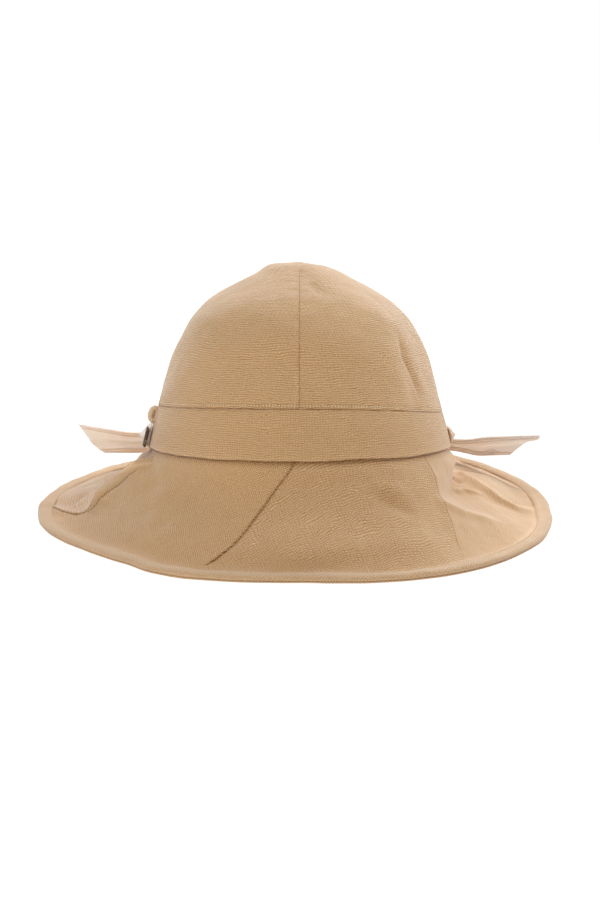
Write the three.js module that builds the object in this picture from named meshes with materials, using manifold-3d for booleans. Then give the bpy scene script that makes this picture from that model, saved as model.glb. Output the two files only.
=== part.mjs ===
// A linen cloche hat: a six-gore crown, a plain hat band, a six-panel brim with slanted seams, a bound rim,
// and a ribbon that runs round the back of the band to a knot with two loose tails.
// Millimetres and degrees, +Z up. Bearings turn about the hat's own axis: 0 is the front (-Y) and 90 is +X.
// The rim lies flat on Z = 0, and its bounding box is centred on the origin.
import * as THREE from "three";
import { mergeVertices } from "three/addons/utils/BufferGeometryUtils.js";
import Module from "manifold-3d";

const wasm = await Module();
wasm.setup();

// ---- Cloth ----
const CLOTH = 1.5; // linen on both faces of a light stiffening
const BAND_CLOTH = 1.6;
const TAPE_CLOTH = 1.0;
const GAP = 0.3; // between neighbouring pieces
const SEAM_HALF_GAP = 0.2;

// ---- Head opening: the band's lower edge, in a plane tilted back about the hat's axis ----
const HEAD_HALF_WIDTH = 89.5; // outside of the band
const HEAD_LENGTH_RATIO = 1.095; // length over width
const HEADLINE_HEIGHT = 38.5; // at the two sides
const HEADLINE_TILT = 9.1;

// ---- Band ----
const BAND_TOP_HALF_WIDTH = 83.4;
const BAND_HEIGHT = 25.5; // at the two sides
const BAND_FRONT_EXTRA = 2.5; // taller in front and lower behind
const BAND_BELLY = 0.5; // how far the middle of the band swells

// ---- Crown: outside half-width at each height over the headline ----
const CROWN_SEAMS = [0, 60, 120, 180, 240, 300];
const CROWN_OVER_BAND = 0.7; // from the band's upper edge to the crown's lower edge
const CROWN_TIP_RADIUS = 1.2; // where the six gores end, round the very top
const CROWN_DENT_FADE = 30; // half-width over which the dents fade towards the top
const CROWN_PROFILE = [
  { height: 20, halfWidth: 84.9 },
  { height: 34, halfWidth: 81.3 },
  { height: 48, halfWidth: 77.4 },
  { height: 62, halfWidth: 72.4 },
  { height: 76, halfWidth: 63.4 },
  { height: 86.4, halfWidth: 52 },
  { height: 94.3, halfWidth: 39.8 },
  { height: 101.4, halfWidth: 25.8 },
  { height: 106.9, halfWidth: 12.5 },
  { height: 108.8, halfWidth: 0 },
];
// Soft dents and fuller places of the crown: how far they move the cloth out, and how far they spread.
const CROWN_DENTS = [
  { name: "fuller right side", bearing: 84, height: 78, out: 1.4, spreadDeg: 30, spreadUp: 20 },
  { name: "fuller left shoulder", bearing: -88, height: 90, out: 2.0, spreadDeg: 34, spreadUp: 11 },
  { name: "flat left of the tip", bearing: -95, height: 106.2, out: 3.8, spreadDeg: 50, spreadUp: 2.6 },
  { name: "full right of the tip", bearing: 85, height: 103.5, out: 1.7, spreadDeg: 45, spreadUp: 3.5 },
  { name: "hollow on the front seam", bearing: 2, height: 48, out: -1.6, spreadDeg: 13, spreadUp: 15 },
  { name: "crease before the right seam", bearing: 57, height: 40, out: -1.3, spreadDeg: 5, spreadUp: 20 },
  { name: "hollow behind the right seam", bearing: 74, height: 64, out: -1.2, spreadDeg: 9, spreadUp: 14 },
  { name: "hollow of the left back", bearing: -140, height: 66, out: -1.5, spreadDeg: 18, spreadUp: 14 },
  { name: "hollow of the right back", bearing: 150, height: 56, out: -1.5, spreadDeg: 15, spreadUp: 16 },
];

// ---- Brim: how far the rim reaches from the hat's axis ----
const RIM_REACH = [
  { bearing: -150, reach: 140.8 },
  { bearing: -125, reach: 146.4 },
  { bearing: -105, reach: 151.2 },
  { bearing: -85, reach: 155.7 },
  { bearing: -70, reach: 155 },
  { bearing: -55, reach: 150.7 },
  { bearing: -42, reach: 149.2 },
  { bearing: -27, reach: 153.6 },
  { bearing: 0, reach: 147.8 },
  { bearing: 20, reach: 155.2 },
  { bearing: 38, reach: 158.2 },
  { bearing: 60, reach: 156 },
  { bearing: 85, reach: 149.8 },
  { bearing: 118, reach: 147.6 },
  { bearing: 150, reach: 149.2 },
  { bearing: 180, reach: 139.5 },
];
// Sections of the brim. Out is measured from the band's lower edge, and up from the surface that the hat
// stands on.
const BRIM_SECTIONS = [
  { bearing: -150, shoulderOut: 5, shoulderUp: 19.5, footOut: 14, footUp: 13.5, skirtOut: 29, skirtUp: 8 },
  { bearing: -115, shoulderOut: 5, shoulderUp: 25.5, footOut: 13, footUp: 17, skirtOut: 32, skirtUp: 9 },
  { bearing: -91, shoulderOut: 6, shoulderUp: 31, footOut: 13, footUp: 21, skirtOut: 32, skirtUp: 9 },
  { bearing: -72, shoulderOut: 6, shoulderUp: 32, footOut: 15, footUp: 21.5, skirtOut: 33, skirtUp: 9.5 },
  { bearing: -40, shoulderOut: 3.5, shoulderUp: 39, footOut: 12, footUp: 26, skirtOut: 30, skirtUp: 12 },
  { bearing: 0, shoulderOut: 3.5, shoulderUp: 41, footOut: 11, footUp: 28, skirtOut: 29, skirtUp: 12.5 },
  { bearing: 22, shoulderOut: 4, shoulderUp: 40, footOut: 12, footUp: 28, skirtOut: 32, skirtUp: 13 },
  { bearing: 45, shoulderOut: 6.5, shoulderUp: 37, footOut: 15, footUp: 26, skirtOut: 33, skirtUp: 12 },
  { bearing: 66, shoulderOut: 3.8, shoulderUp: 34, footOut: 5, footUp: 20, skirtOut: 26, skirtUp: 11.5 },
  { bearing: 88, shoulderOut: 3, shoulderUp: 31.5, footOut: 1.6, footUp: 20, skirtOut: 23, skirtUp: 12.5 },
  { bearing: 112, shoulderOut: 3.4, shoulderUp: 25.5, footOut: 7.5, footUp: 17, skirtOut: 27, skirtUp: 11 },
  { bearing: 145, shoulderOut: 5, shoulderUp: 19.5, footOut: 14, footUp: 13.5, skirtOut: 30, skirtUp: 8 },
  { bearing: 180, shoulderOut: 4.5, shoulderUp: 17.5, footOut: 13, footUp: 12.5, skirtOut: 26, skirtUp: 7.5 },
];
// Where the brim's profile passes each named place: 0 at the headline and 1 at the cloth's outer edge.
const PLACE = {
  tuck: -0.06,
  headline: 0,
  underBand: 0.03,
  shoulder: 0.18,
  foot: 0.37,
  skirt: 0.64,
  hem: 0.9,
  edge: 1,
};
const BRIM_TUCK = 5; // how far the brim reaches up behind the band
const BRIM_BEHIND_BAND = 0.45;
const BRIM_BELOW_BAND = { out: 1.6, down: 2.4 }; // the brim clears the band's free lower edge

// Folds pressed into the brim. Each follows a slanted line from one place of the profile to another,
// and spreads to either side of it: the minus side has the smaller bearing.
const BRIM_FOLDS = [
  { name: "left seam ridge", bearing: -69, sweep: -17, from: 0.06, to: 0.78, lift: 5, minus: 5, plus: 14 },
  { name: "left pleat", bearing: -76, sweep: -12, from: 0.6, to: 0.9, lift: 2.6, minus: 9, plus: 3.5 },
  { name: "left ridge hollow", bearing: -80, sweep: -15, from: 0.3, to: 0.7, lift: -2, minus: 9, plus: 5 },
  { name: "right ridge", bearing: 97, sweep: -4, from: 0.28, to: 0.9, lift: 4.2, minus: 5, plus: 8 },
  { name: "right ridge hollow", bearing: 88, sweep: 0, from: 0.22, to: 0.62, lift: -4, minus: 5, plus: 4 },
  { name: "short right ridge", bearing: 81, sweep: 4, from: 0.3, to: 0.62, lift: 2.2, minus: 4, plus: 4 },
  { name: "low right ridge", bearing: 66, sweep: 8, from: 0.32, to: 0.85, lift: 3, minus: 5, plus: 5 },
  { name: "right seam ridge", bearing: 53, sweep: -16, from: 0.12, to: 0.85, lift: 1.6, minus: 6, plus: 4 },
  { name: "front right roll", bearing: 14, sweep: 26, from: 0.1, to: 0.86, lift: 1.8, minus: 9, plus: 9 },
  { name: "front right hollow", bearing: 30, sweep: 22, from: 0.15, to: 0.86, lift: -1.8, minus: 7, plus: 8 },
  { name: "front left hollow", bearing: -48, sweep: 22, from: 0.1, to: 0.8, lift: -1.6, minus: 12, plus: 10 },
  { name: "back right roll", bearing: 134, sweep: -6, from: 0.2, to: 0.88, lift: 2.2, minus: 11, plus: 12 },
  { name: "back left roll", bearing: -138, sweep: -6, from: 0.2, to: 0.88, lift: 2.2, minus: 12, plus: 11 },
];
// Seams between the brim's panels: the bearing at the band, and how far the seam slants by the rim.
const BRIM_SEAMS = [
  { bearing: -69, sweep: -17 },
  { bearing: 0, sweep: -26 },
  { bearing: 53, sweep: -16 },
  { bearing: 118, sweep: -14 },
  { bearing: 178, sweep: -16 },
  { bearing: 234, sweep: -16 },
];

// ---- Rim tape, folded over the brim's edge ----
const TAPE_WIDTH = 9;
const TAPE_ROUND = 0.7; // corner of its outer fold
const TAPE_HEIGHT = 2 * TAPE_CLOTH + CLOTH + 2 * GAP;
const BRIM_EDGE_IN = TAPE_CLOTH + GAP; // from the rim to the cloth's own edge
const BRIM_EDGE_UP = TAPE_CLOTH + GAP + CLOTH;

// ---- Ribbon round the back: its middle height over the headline, its width and how proud it stands ----
const TIE_LEFT = [
  { bearing: -73, middle: 6.5, tall: 10, proud: 1.2 },
  { bearing: -80, middle: 6.5, tall: 11, proud: 1.2 },
  { bearing: -87, middle: 7, tall: 11.5, proud: 1.6 },
  { bearing: -95, middle: 9, tall: 12, proud: 6.4 },
  { bearing: -104, middle: 9.2, tall: 11, proud: 4.4 },
  { bearing: -118, middle: 9.3, tall: 11, proud: 2.8 },
  { bearing: -145, middle: 9.8, tall: 12, proud: 2.4 },
  { bearing: -174, middle: 10.5, tall: 10.5, proud: 3.4 },
];
const TIE_RIGHT = [
  { bearing: 93, middle: 5.3, tall: 7.5, proud: 3.4 },
  { bearing: 99, middle: 5.5, tall: 8.5, proud: 4.6 },
  { bearing: 110, middle: 6.6, tall: 9.5, proud: 3.2 },
  { bearing: 140, middle: 9.2, tall: 12, proud: 2.4 },
  { bearing: 174, middle: 10.5, tall: 10.5, proud: 3.4 },
];
const TIE_OFF_BAND = 0.35;
const TIE_CORNERS = [
  // shares of how proud it stands and of its width
  { out: 0, up: -0.42 },
  { out: 0.5, up: -0.5 },
  { out: 1, up: -0.36 },
  { out: 1, up: 0.36 },
  { out: 0.5, up: 0.5 },
  { out: 0, up: 0.42 },
];
const KNOT = {
  bearing: 180,
  height: 10.5,
  out: 5.9,
  halfWide: 9.4,
  halfDeep: 6,
  halfTall: 9.6,
  waist: 0.14, // how much slimmer its middle is
  waistTall: 0.35, // share of its half height
  squareness: 0.8,
};
// The tails, from the knot to the slanted end: the ribbon's lower and upper edge at each station.
const TAIL_CLOTH = 1.2;
const TAIL_LEFT = [
  { lower: [-9.7, 104.4, 26], upper: [-9.7, 103.2, 38] },
  { lower: [-30, 106.5, 19.5], upper: [-30, 102, 35] },
  { lower: [-62, 95, 15.5], upper: [-62, 88, 30] },
  { lower: [-95, 71, 14.2], upper: [-97, 66, 28.5] },
  { lower: [-112, 60, 15.5], upper: [-118, 55, 34.5] },
  { lower: [-122.5, 56, 17], upper: [-137.3, 54, 38.8] },
];
const TAIL_RIGHT = [
  { lower: [9.7, 104.4, 26], upper: [9.7, 103.2, 38] },
  { lower: [30, 106.5, 19.5], upper: [30, 102, 34] },
  { lower: [62, 95, 16], upper: [62, 89, 28] },
  { lower: [96, 70, 17.4], upper: [97, 66, 25.6] },
  { lower: [114, 60, 16.8], upper: [120, 56, 31] },
  { lower: [130.8, 54, 18.4], upper: [147.6, 53, 31.8] },
];

// ---- Trim on the left side ----
const SLIDE = {
  bearing: -80,
  height: 6.2,
  turn: -2,
  out: 2.1,
  wide: 15,
  tall: 15,
  thick: 1.3,
  bar: 1.6,
  slots: 4,
};
const KEEPER = { bearing: -81, height: 19.5, out: 3.6, halfOut: 1.9, halfTall: 3.6, cord: 1.3 };

// ---- How finely each piece is cut ----
const GORE_COLUMNS = 7;
const GORE_ROWS = 11;
const BAND_STEPS = 72;
const TAPE_STEPS = 80;
const TIE_STEP_DEG = 5;
const TAIL_STEPS = 12;
const TAIL_COLUMNS = 3;
const KNOT_SIDES = 16;
const KEEPER_STEPS = 14;
const KEEPER_SIDES = 8;
const BRIM_ROWS = [-0.06, 0, 0.03, 0.09, 0.18, 0.27, 0.37, 0.46, 0.55, 0.64, 0.73, 0.82, 0.9, 1];
const BRIM_COLUMNS = [0, 0.04, 0.1, 0.18, 0.28, 0.39, 0.5, 0.61, 0.72, 0.82, 0.9, 0.96, 1];

const STEP = 0.01; // the short steps along a surface that find the direction across it
const STEP_DEG = 0.5;

const DEG = Math.PI / 180;
const TURN = 360;
const lerp = THREE.MathUtils.lerp;

// ---- Curves through named rows ----

// A smooth value of one column between the rows that lie round the hat.
function aroundHat(rows, column, bearing) {
  const count = rows.length;
  const row = (i) => {
    const turns = Math.floor(i / count);
    const found = rows[i - turns * count];
    return { at: found.bearing + turns * TURN, value: found[column] };
  };
  const first = rows[0].bearing;
  const wrapped = first + ((((bearing - first) % TURN) + TURN) % TURN);
  let i = 0;
  while (row(i + 1).at <= wrapped) i += 1;
  const [before, low, high, after] = [row(i - 1), row(i), row(i + 1), row(i + 2)];
  const span = high.at - low.at;
  const lowSlope = ((high.value - before.value) / (high.at - before.at)) * span;
  const highSlope = ((after.value - low.value) / (after.at - low.at)) * span;
  return hermite(low.value, high.value, lowSlope, highSlope, (wrapped - low.at) / span);
}

function hermite(low, high, lowSlope, highSlope, t) {
  const t2 = t * t;
  const t3 = t2 * t;
  const values = (2 * t3 - 3 * t2 + 1) * low + (3 * t2 - 2 * t3) * high;
  const slopes = (t3 - 2 * t2 + t) * lowSlope + (t3 - t2) * highSlope;
  return values + slopes;
}

// A point on the smooth curve through points that sit at the given knots. The first and last spans are
// straight.
function throughPoints(points, knots, at) {
  const last = points.length - 1;
  let i = 0;
  while (i < last - 1 && at > knots[i + 1]) i += 1;
  const secant = (k) => points[k + 1].clone().sub(points[k]).divideScalar(knots[k + 1] - knots[k]);
  const slope = (k) => {
    if (k <= 1) return secant(0);
    if (k >= last - 1) return secant(last - 1);
    const [left, right] = [knots[k] - knots[k - 1], knots[k + 1] - knots[k]];
    return secant(k - 1).multiplyScalar(right).addScaledVector(secant(k), left).divideScalar(left + right);
  };
  const span = knots[i + 1] - knots[i];
  const t = (at - knots[i]) / span;
  const [lowSlope, highSlope] = [slope(i), slope(i + 1)];
  const mix = (axis) =>
    hermite(points[i][axis], points[i + 1][axis], lowSlope[axis] * span, highSlope[axis] * span, t);
  return new THREE.Vector3(mix("x"), mix("y"), mix("z"));
}

// ---- The hat's own surfaces ----

function ovalReach(bearing, halfWidth, halfLength) {
  const [across, along] = [Math.sin(bearing * DEG) / halfWidth, Math.cos(bearing * DEG) / halfLength];
  return 1 / Math.hypot(across, along);
}

function onBearing(bearing, reach, up) {
  return new THREE.Vector3(reach * Math.sin(bearing * DEG), -reach * Math.cos(bearing * DEG), up);
}

// A point at a height over the tilted headline, on the head's oval of a given half-width.
function onHead(bearing, halfWidth, height) {
  const level = onBearing(bearing, ovalReach(bearing, halfWidth, halfWidth * HEAD_LENGTH_RATIO), height);
  level.applyAxisAngle(new THREE.Vector3(1, 0, 0), -HEADLINE_TILT * DEG);
  return level.setZ(level.z + HEADLINE_HEIGHT);
}

function bandHeight(bearing) {
  return BAND_HEIGHT + BAND_FRONT_EXTRA * Math.cos(bearing * DEG);
}

function bandHalfWidth(bearing, height) {
  const share = height / bandHeight(bearing);
  return lerp(HEAD_HALF_WIDTH, BAND_TOP_HALF_WIDTH, share) + BAND_BELLY * 4 * share * (1 - share);
}

// The crown's outline in its own tilted frame. Place runs along the rows of CROWN_PROFILE: 0 is the first.
function crownProfile(place) {
  const points = CROWN_PROFILE.map((row) => new THREE.Vector3(row.halfWidth, row.height, 0));
  const knots = CROWN_PROFILE.map((row, i) => i);
  const { x: halfWidth, y: height } = throughPoints(points, knots, place);
  return { halfWidth, height };
}

function crownBase(bearing, place) {
  const { halfWidth, height } = crownProfile(place);
  return onHead(bearing, halfWidth, height);
}

// How far the dents move the crown's cloth out. They fade towards the very top.
function dentOut(bearing, place) {
  const { halfWidth, height } = crownProfile(place);
  const share = Math.min(halfWidth / CROWN_DENT_FADE, 1);
  let out = 0;
  for (const dent of CROWN_DENTS) {
    const aside = wrapDegrees(bearing - dent.bearing) / dent.spreadDeg;
    const above = (height - dent.height) / dent.spreadUp;
    out += dent.out * share * Math.exp(-aside * aside - above * above);
  }
  return out;
}

function wrapDegrees(angle) {
  return ((((angle + 180) % TURN) + TURN) % TURN) - 180;
}

// The brim's upper face without its folds: root behind the band, shoulder, foot, skirt, hem and edge.
function brimBase(bearing, place) {
  const rootHalf = HEAD_HALF_WIDTH - BAND_CLOTH - BRIM_BEHIND_BAND;
  const tuckHalf = bandHalfWidth(bearing, BRIM_TUCK) - BAND_CLOTH - BRIM_BEHIND_BAND;
  const headline = onHead(bearing, HEAD_HALF_WIDTH, 0);
  const bandReach = Math.hypot(headline.x, headline.y);
  const rim = aroundHat(RIM_REACH, "reach", bearing);
  const named = (column) => aroundHat(BRIM_SECTIONS, column, bearing);
  const points = [
    onHead(bearing, tuckHalf, BRIM_TUCK),
    onHead(bearing, rootHalf, 0),
    onHead(bearing, rootHalf + BRIM_BELOW_BAND.out, -BRIM_BELOW_BAND.down),
    onBearing(bearing, bandReach + named("shoulderOut"), named("shoulderUp")),
    onBearing(bearing, bandReach + named("footOut"), named("footUp")),
    onBearing(bearing, bandReach + named("skirtOut"), named("skirtUp")),
    onBearing(bearing, rim - TAPE_WIDTH - GAP, BRIM_EDGE_UP),
    onBearing(bearing, rim - BRIM_EDGE_IN, BRIM_EDGE_UP),
  ];
  return throughPoints(points, Object.values(PLACE), place);
}

function foldLift(bearing, place, reach) {
  let lift = 0;
  for (const fold of BRIM_FOLDS) {
    if (place <= fold.from || place >= fold.to) continue;
    const along = (place - fold.from) / (fold.to - fold.from);
    const line = fold.bearing + fold.sweep * place;
    const aside = wrapDegrees(bearing - line) * DEG * reach;
    const spread = aside < 0 ? fold.minus : fold.plus;
    lift += fold.lift * Math.sin(Math.PI * along) * Math.exp(-((aside / spread) ** 2));
  }
  return lift;
}

// ---- Solids ----

// Across a surface, from two short steps along it in bearing and in place.
function acrossSkin(skin, bearing, place) {
  const alongBearing = skin(bearing + STEP_DEG, place).sub(skin(bearing - STEP_DEG, place));
  const alongPlace = skin(bearing, place + STEP).sub(skin(bearing, place - STEP));
  return alongBearing.cross(alongPlace).normalize();
}

// A closed body from its corner points and triangles, turned so that its faces point out.
function closedBody(points, triangles) {
  let volume = 0;
  for (const [a, b, c] of triangles) volume += points[a].dot(points[b].clone().cross(points[c]));
  const facing = volume < 0 ? triangles.map(([a, b, c]) => [a, c, b]) : triangles;
  const geometry = new THREE.BufferGeometry().setFromPoints(points).setIndex(facing.flat());
  geometry.computeVertexNormals();
  return geometry;
}

// Cloth of even thickness: a grid of outer points, each with its partner inside, closed along its four edges.
function clothWall(outer, inner) {
  const [rows, columns] = [outer.length, outer[0].length];
  const points = [...outer.flat(), ...inner.flat()];
  const at = (side, row, column) => side * rows * columns + row * columns + column;
  const triangles = [];
  const quad = (a, b, c, d) => triangles.push([a, b, c], [a, c, d]);
  for (let r = 0; r < rows - 1; r += 1) {
    for (let c = 0; c < columns - 1; c += 1) {
      quad(at(0, r, c), at(0, r, c + 1), at(0, r + 1, c + 1), at(0, r + 1, c));
      quad(at(1, r, c), at(1, r + 1, c), at(1, r + 1, c + 1), at(1, r, c + 1));
    }
    quad(at(0, r, 0), at(0, r + 1, 0), at(1, r + 1, 0), at(1, r, 0));
    quad(at(0, r, columns - 1), at(1, r, columns - 1), at(1, r + 1, columns - 1), at(0, r + 1, columns - 1));
  }
  for (let c = 0; c < columns - 1; c += 1) {
    quad(at(0, 0, c), at(1, 0, c), at(1, 0, c + 1), at(0, 0, c + 1));
    quad(at(0, rows - 1, c), at(0, rows - 1, c + 1), at(1, rows - 1, c + 1), at(1, rows - 1, c));
  }
  return closedBody(points, triangles);
}

// A body through a row of closed loops with the same number of corners: a ring, or a strip with flat ends.
function loft(loops, isRing) {
  const corners = loops[0].length;
  const points = loops.flat();
  const triangles = [];
  const spans = isRing ? loops.length : loops.length - 1;
  for (let i = 0; i < spans; i += 1) {
    const [here, next] = [i * corners, ((i + 1) % loops.length) * corners];
    for (let k = 0; k < corners; k += 1) {
      const side = (k + 1) % corners;
      triangles.push([here + k, here + side, next + side], [here + k, next + side, next + k]);
    }
  }
  const lastLoop = (loops.length - 1) * corners;
  for (let k = 1; k < corners - 1 && !isRing; k += 1) {
    triangles.push([0, k + 1, k], [lastLoop, lastLoop + k, lastLoop + k + 1]);
  }
  return closedBody(points, triangles);
}

// A three.js geometry as a manifold-3d solid, and back.
function solidOf(geometry) {
  geometry.deleteAttribute("normal");
  geometry.deleteAttribute("uv");
  const merged = mergeVertices(geometry, 1e-4);
  const triVerts = new Uint32Array(merged.index.array);
  const vertProperties = merged.attributes.position.array;
  return new wasm.Manifold(new wasm.Mesh({ numProp: 3, vertProperties, triVerts }));
}

function geometryOf(solid) {
  const { vertProperties, triVerts } = solid.getMesh();
  const geometry = new THREE.BufferGeometry();
  geometry.setAttribute("position", new THREE.BufferAttribute(vertProperties, 3));
  geometry.setIndex(new THREE.BufferAttribute(triVerts, 1));
  geometry.computeVertexNormals();
  return geometry;
}

// ---- Materials ----
const linen = (color) => new THREE.MeshStandardMaterial({ color, roughness: 0.9, metalness: 0 });
const crownLinen = linen(0xbe9b76);
const brimLinen = linen(0xbb956b);
const ribbonLinen = linen(0xd2b89e);
const slideMetal = new THREE.MeshStandardMaterial({ color: 0x6e675c, roughness: 0.35, metalness: 1 });

const hat = new THREE.Group();
function add(name, geometry, material) {
  const mesh = new THREE.Mesh(geometry, material);
  mesh.name = name;
  hat.add(mesh);
  return mesh;
}

// ---- Crown gores ----
function crownGore(fromSeam, toSeam) {
  const lastPlace = CROWN_PROFILE.length - 1;
  const tipPlace = lastPlace - CROWN_TIP_RADIUS / CROWN_PROFILE[lastPlace - 1].halfWidth;
  const [first, second] = CROWN_PROFILE;
  const [outer, inner] = [[], []];
  for (let r = 0; r <= GORE_ROWS; r += 1) {
    const [outerRow, innerRow] = [[], []];
    for (let c = 0; c <= GORE_COLUMNS; c += 1) {
      const onSeamLine = lerp(fromSeam, toSeam, c / GORE_COLUMNS);
      const lowest = bandHeight(onSeamLine) + CROWN_OVER_BAND;
      const lowestPlace = (lowest - first.height) / (second.height - first.height);
      const place = lerp(lowestPlace, tipPlace, r / GORE_ROWS);
      const aside = SEAM_HALF_GAP / crownProfile(place).halfWidth / DEG;
      const bearing = lerp(fromSeam + aside, toSeam - aside, c / GORE_COLUMNS);
      const out = acrossSkin(crownBase, bearing, place);
      const point = crownBase(bearing, place).addScaledVector(out, dentOut(bearing, place));
      outerRow.push(point);
      innerRow.push(point.clone().addScaledVector(out, -CLOTH));
    }
    outer.push(outerRow);
    inner.push(innerRow);
  }
  return clothWall(outer, inner);
}
CROWN_SEAMS.forEach((seam, i) => {
  const nextSeam = CROWN_SEAMS[i + 1] ?? TURN;
  add(`crown_gore_${i + 1}`, crownGore(seam, nextSeam), crownLinen);
});

// ---- Band ----
function bandRing() {
  const loops = [];
  for (let i = 0; i < BAND_STEPS; i += 1) {
    const bearing = (i * TURN) / BAND_STEPS;
    const top = bandHeight(bearing);
    const wall = (height, inwards) => onHead(bearing, bandHalfWidth(bearing, height) - inwards, height);
    const heights = [0, 0.5 * top, top];
    const outside = heights.map((height) => wall(height, 0));
    const inside = heights.reverse().map((height) => wall(height, BAND_CLOTH));
    loops.push([...outside, ...inside]);
  }
  return loft(loops, true);
}
add("band", bandRing(), crownLinen);

// ---- Brim panels ----
function brimPanel(fromSeam, toSeam) {
  const [outer, inner] = [[], []];
  for (const place of BRIM_ROWS) {
    const start = fromSeam.bearing + fromSeam.sweep * place;
    const end = toSeam.bearing + toSeam.sweep * place;
    const [outerRow, innerRow] = [[], []];
    for (const share of BRIM_COLUMNS) {
      const middle = brimBase(lerp(start, end, share), place);
      const reach = Math.hypot(middle.x, middle.y);
      const aside = SEAM_HALF_GAP / reach / DEG;
      const bearing = lerp(start + aside, end - aside, share);
      const up = acrossSkin(brimBase, bearing, place).negate();
      const lift = foldLift(bearing, place, reach);
      const point = brimBase(bearing, place);
      outerRow.push(point.clone().addScaledVector(up, lift));
      innerRow.push(point.clone().addScaledVector(up, lift - CLOTH));
    }
    outer.push(outerRow);
    inner.push(innerRow);
  }
  return clothWall(outer, inner);
}
BRIM_SEAMS.forEach((seam, i) => {
  const first = BRIM_SEAMS[0];
  const nextSeam = BRIM_SEAMS[i + 1] ?? { bearing: first.bearing + TURN, sweep: first.sweep };
  add(`brim_panel_${i + 1}`, brimPanel(seam, nextSeam), brimLinen);
});

// ---- Rim tape ----
function rimTape() {
  const [top, round] = [TAPE_HEIGHT, TAPE_ROUND];
  const section = [
    { in: TAPE_WIDTH, up: 0 },
    { in: round, up: 0 },
    { in: 0, up: round },
    { in: 0, up: top - round },
    { in: round, up: top },
    { in: TAPE_WIDTH, up: top },
    { in: TAPE_WIDTH, up: top - TAPE_CLOTH },
    { in: TAPE_CLOTH, up: top - TAPE_CLOTH },
    { in: TAPE_CLOTH, up: TAPE_CLOTH },
    { in: TAPE_WIDTH, up: TAPE_CLOTH },
  ];
  const loops = [];
  for (let i = 0; i < TAPE_STEPS; i += 1) {
    const bearing = (i * TURN) / TAPE_STEPS;
    const rim = aroundHat(RIM_REACH, "reach", bearing);
    loops.push(section.map((corner) => onBearing(bearing, rim - corner.in, corner.up)));
  }
  return loft(loops, true);
}
add("rim_tape", rimTape(), brimLinen);

// ---- Ribbon round the back ----
function tie(rows) {
  const points = rows.map((row) => new THREE.Vector3(row.middle, row.tall, row.proud));
  const turnSign = Math.sign(rows.at(-1).bearing);
  const knots = rows.map((row) => turnSign * row.bearing);
  const steps = Math.ceil((knots.at(-1) - knots[0]) / TIE_STEP_DEG);
  const loops = [];
  for (let i = 0; i <= steps; i += 1) {
    const at = lerp(knots[0], knots.at(-1), i / steps);
    const { x: middle, y: tall, z: proud } = throughPoints(points, knots, at);
    loops.push(
      TIE_CORNERS.map((corner) => {
        const height = middle + corner.up * tall;
        const halfWidth = bandHalfWidth(at, height) + TIE_OFF_BAND + corner.out * proud;
        return onHead(turnSign * at, halfWidth, height);
      }),
    );
  }
  return loft(loops, false);
}
add("tie_left", tie(TIE_LEFT), ribbonLinen);
add("tie_right", tie(TIE_RIGHT), ribbonLinen);

// ---- Tails ----
function tail(rows) {
  const lower = rows.map((row) => new THREE.Vector3(...row.lower));
  const upper = rows.map((row) => new THREE.Vector3(...row.upper));
  const knots = rows.map((row, i) => i);
  const skin = (along, across) =>
    throughPoints(lower, knots, along).lerp(throughPoints(upper, knots, along), across);
  const [front, back] = [[], []];
  const last = rows.length - 1;
  for (let i = 0; i <= TAIL_STEPS; i += 1) {
    const along = (last * i) / TAIL_STEPS;
    const [frontRow, backRow] = [[], []];
    for (let k = 0; k <= TAIL_COLUMNS; k += 1) {
      const across = k / TAIL_COLUMNS;
      const lengthways = skin(along + STEP, across).sub(skin(along - STEP, across));
      const side = lengthways.cross(skin(along, 1).sub(skin(along, 0))).normalize();
      frontRow.push(skin(along, across).addScaledVector(side, 0.5 * TAIL_CLOTH));
      backRow.push(skin(along, across).addScaledVector(side, -0.5 * TAIL_CLOTH));
    }
    front.push(frontRow);
    back.push(backRow);
  }
  return clothWall(front, back);
}
add("tail_left", tail(TAIL_LEFT), ribbonLinen);
add("tail_right", tail(TAIL_RIGHT), ribbonLinen);

// ---- Pieces that sit square on the band: they are placed in the head's own tilted frame ----
const head = new THREE.Group();
head.position.set(0, 0, HEADLINE_HEIGHT);
head.rotation.x = -HEADLINE_TILT * DEG;
hat.add(head);

// Places a mesh on the band: its X runs round the hat, its Y up and its Z out.
function placeOnBand(mesh, { bearing, height, out, turn = 0 }) {
  const halfWidth = bandHalfWidth(bearing, height);
  const reach = ovalReach(bearing, halfWidth, halfWidth * HEAD_LENGTH_RATIO);
  mesh.position.copy(onBearing(bearing, reach + out, height));
  const lean = Math.atan2(HEAD_HALF_WIDTH - BAND_TOP_HALF_WIDTH, BAND_HEIGHT);
  mesh.rotation.set(Math.PI / 2 - lean, 0, (bearing + turn) * DEG, "ZXY");
  head.add(mesh);
}

// ---- Knot ----
function knotGeometry() {
  const ball = new THREE.SphereGeometry(1, KNOT_SIDES, KNOT_SIDES / 2);
  ball.deleteAttribute("normal");
  ball.deleteAttribute("uv");
  const geometry = mergeVertices(ball, 1e-4);
  const square = (value) => Math.sign(value) * Math.abs(value) ** KNOT.squareness;
  const position = geometry.attributes.position;
  for (let i = 0; i < position.count; i += 1) {
    const [x, y, z] = [position.getX(i), position.getY(i), position.getZ(i)];
    const deep = KNOT.halfDeep * (1 - KNOT.waist * Math.exp(-((y / KNOT.waistTall) ** 2)));
    position.setXYZ(i, KNOT.halfWide * square(x), KNOT.halfTall * square(y), deep * square(z));
  }
  geometry.computeVertexNormals();
  return geometry;
}
placeOnBand(add("tie_knot", knotGeometry(), ribbonLinen), KNOT);

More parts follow.
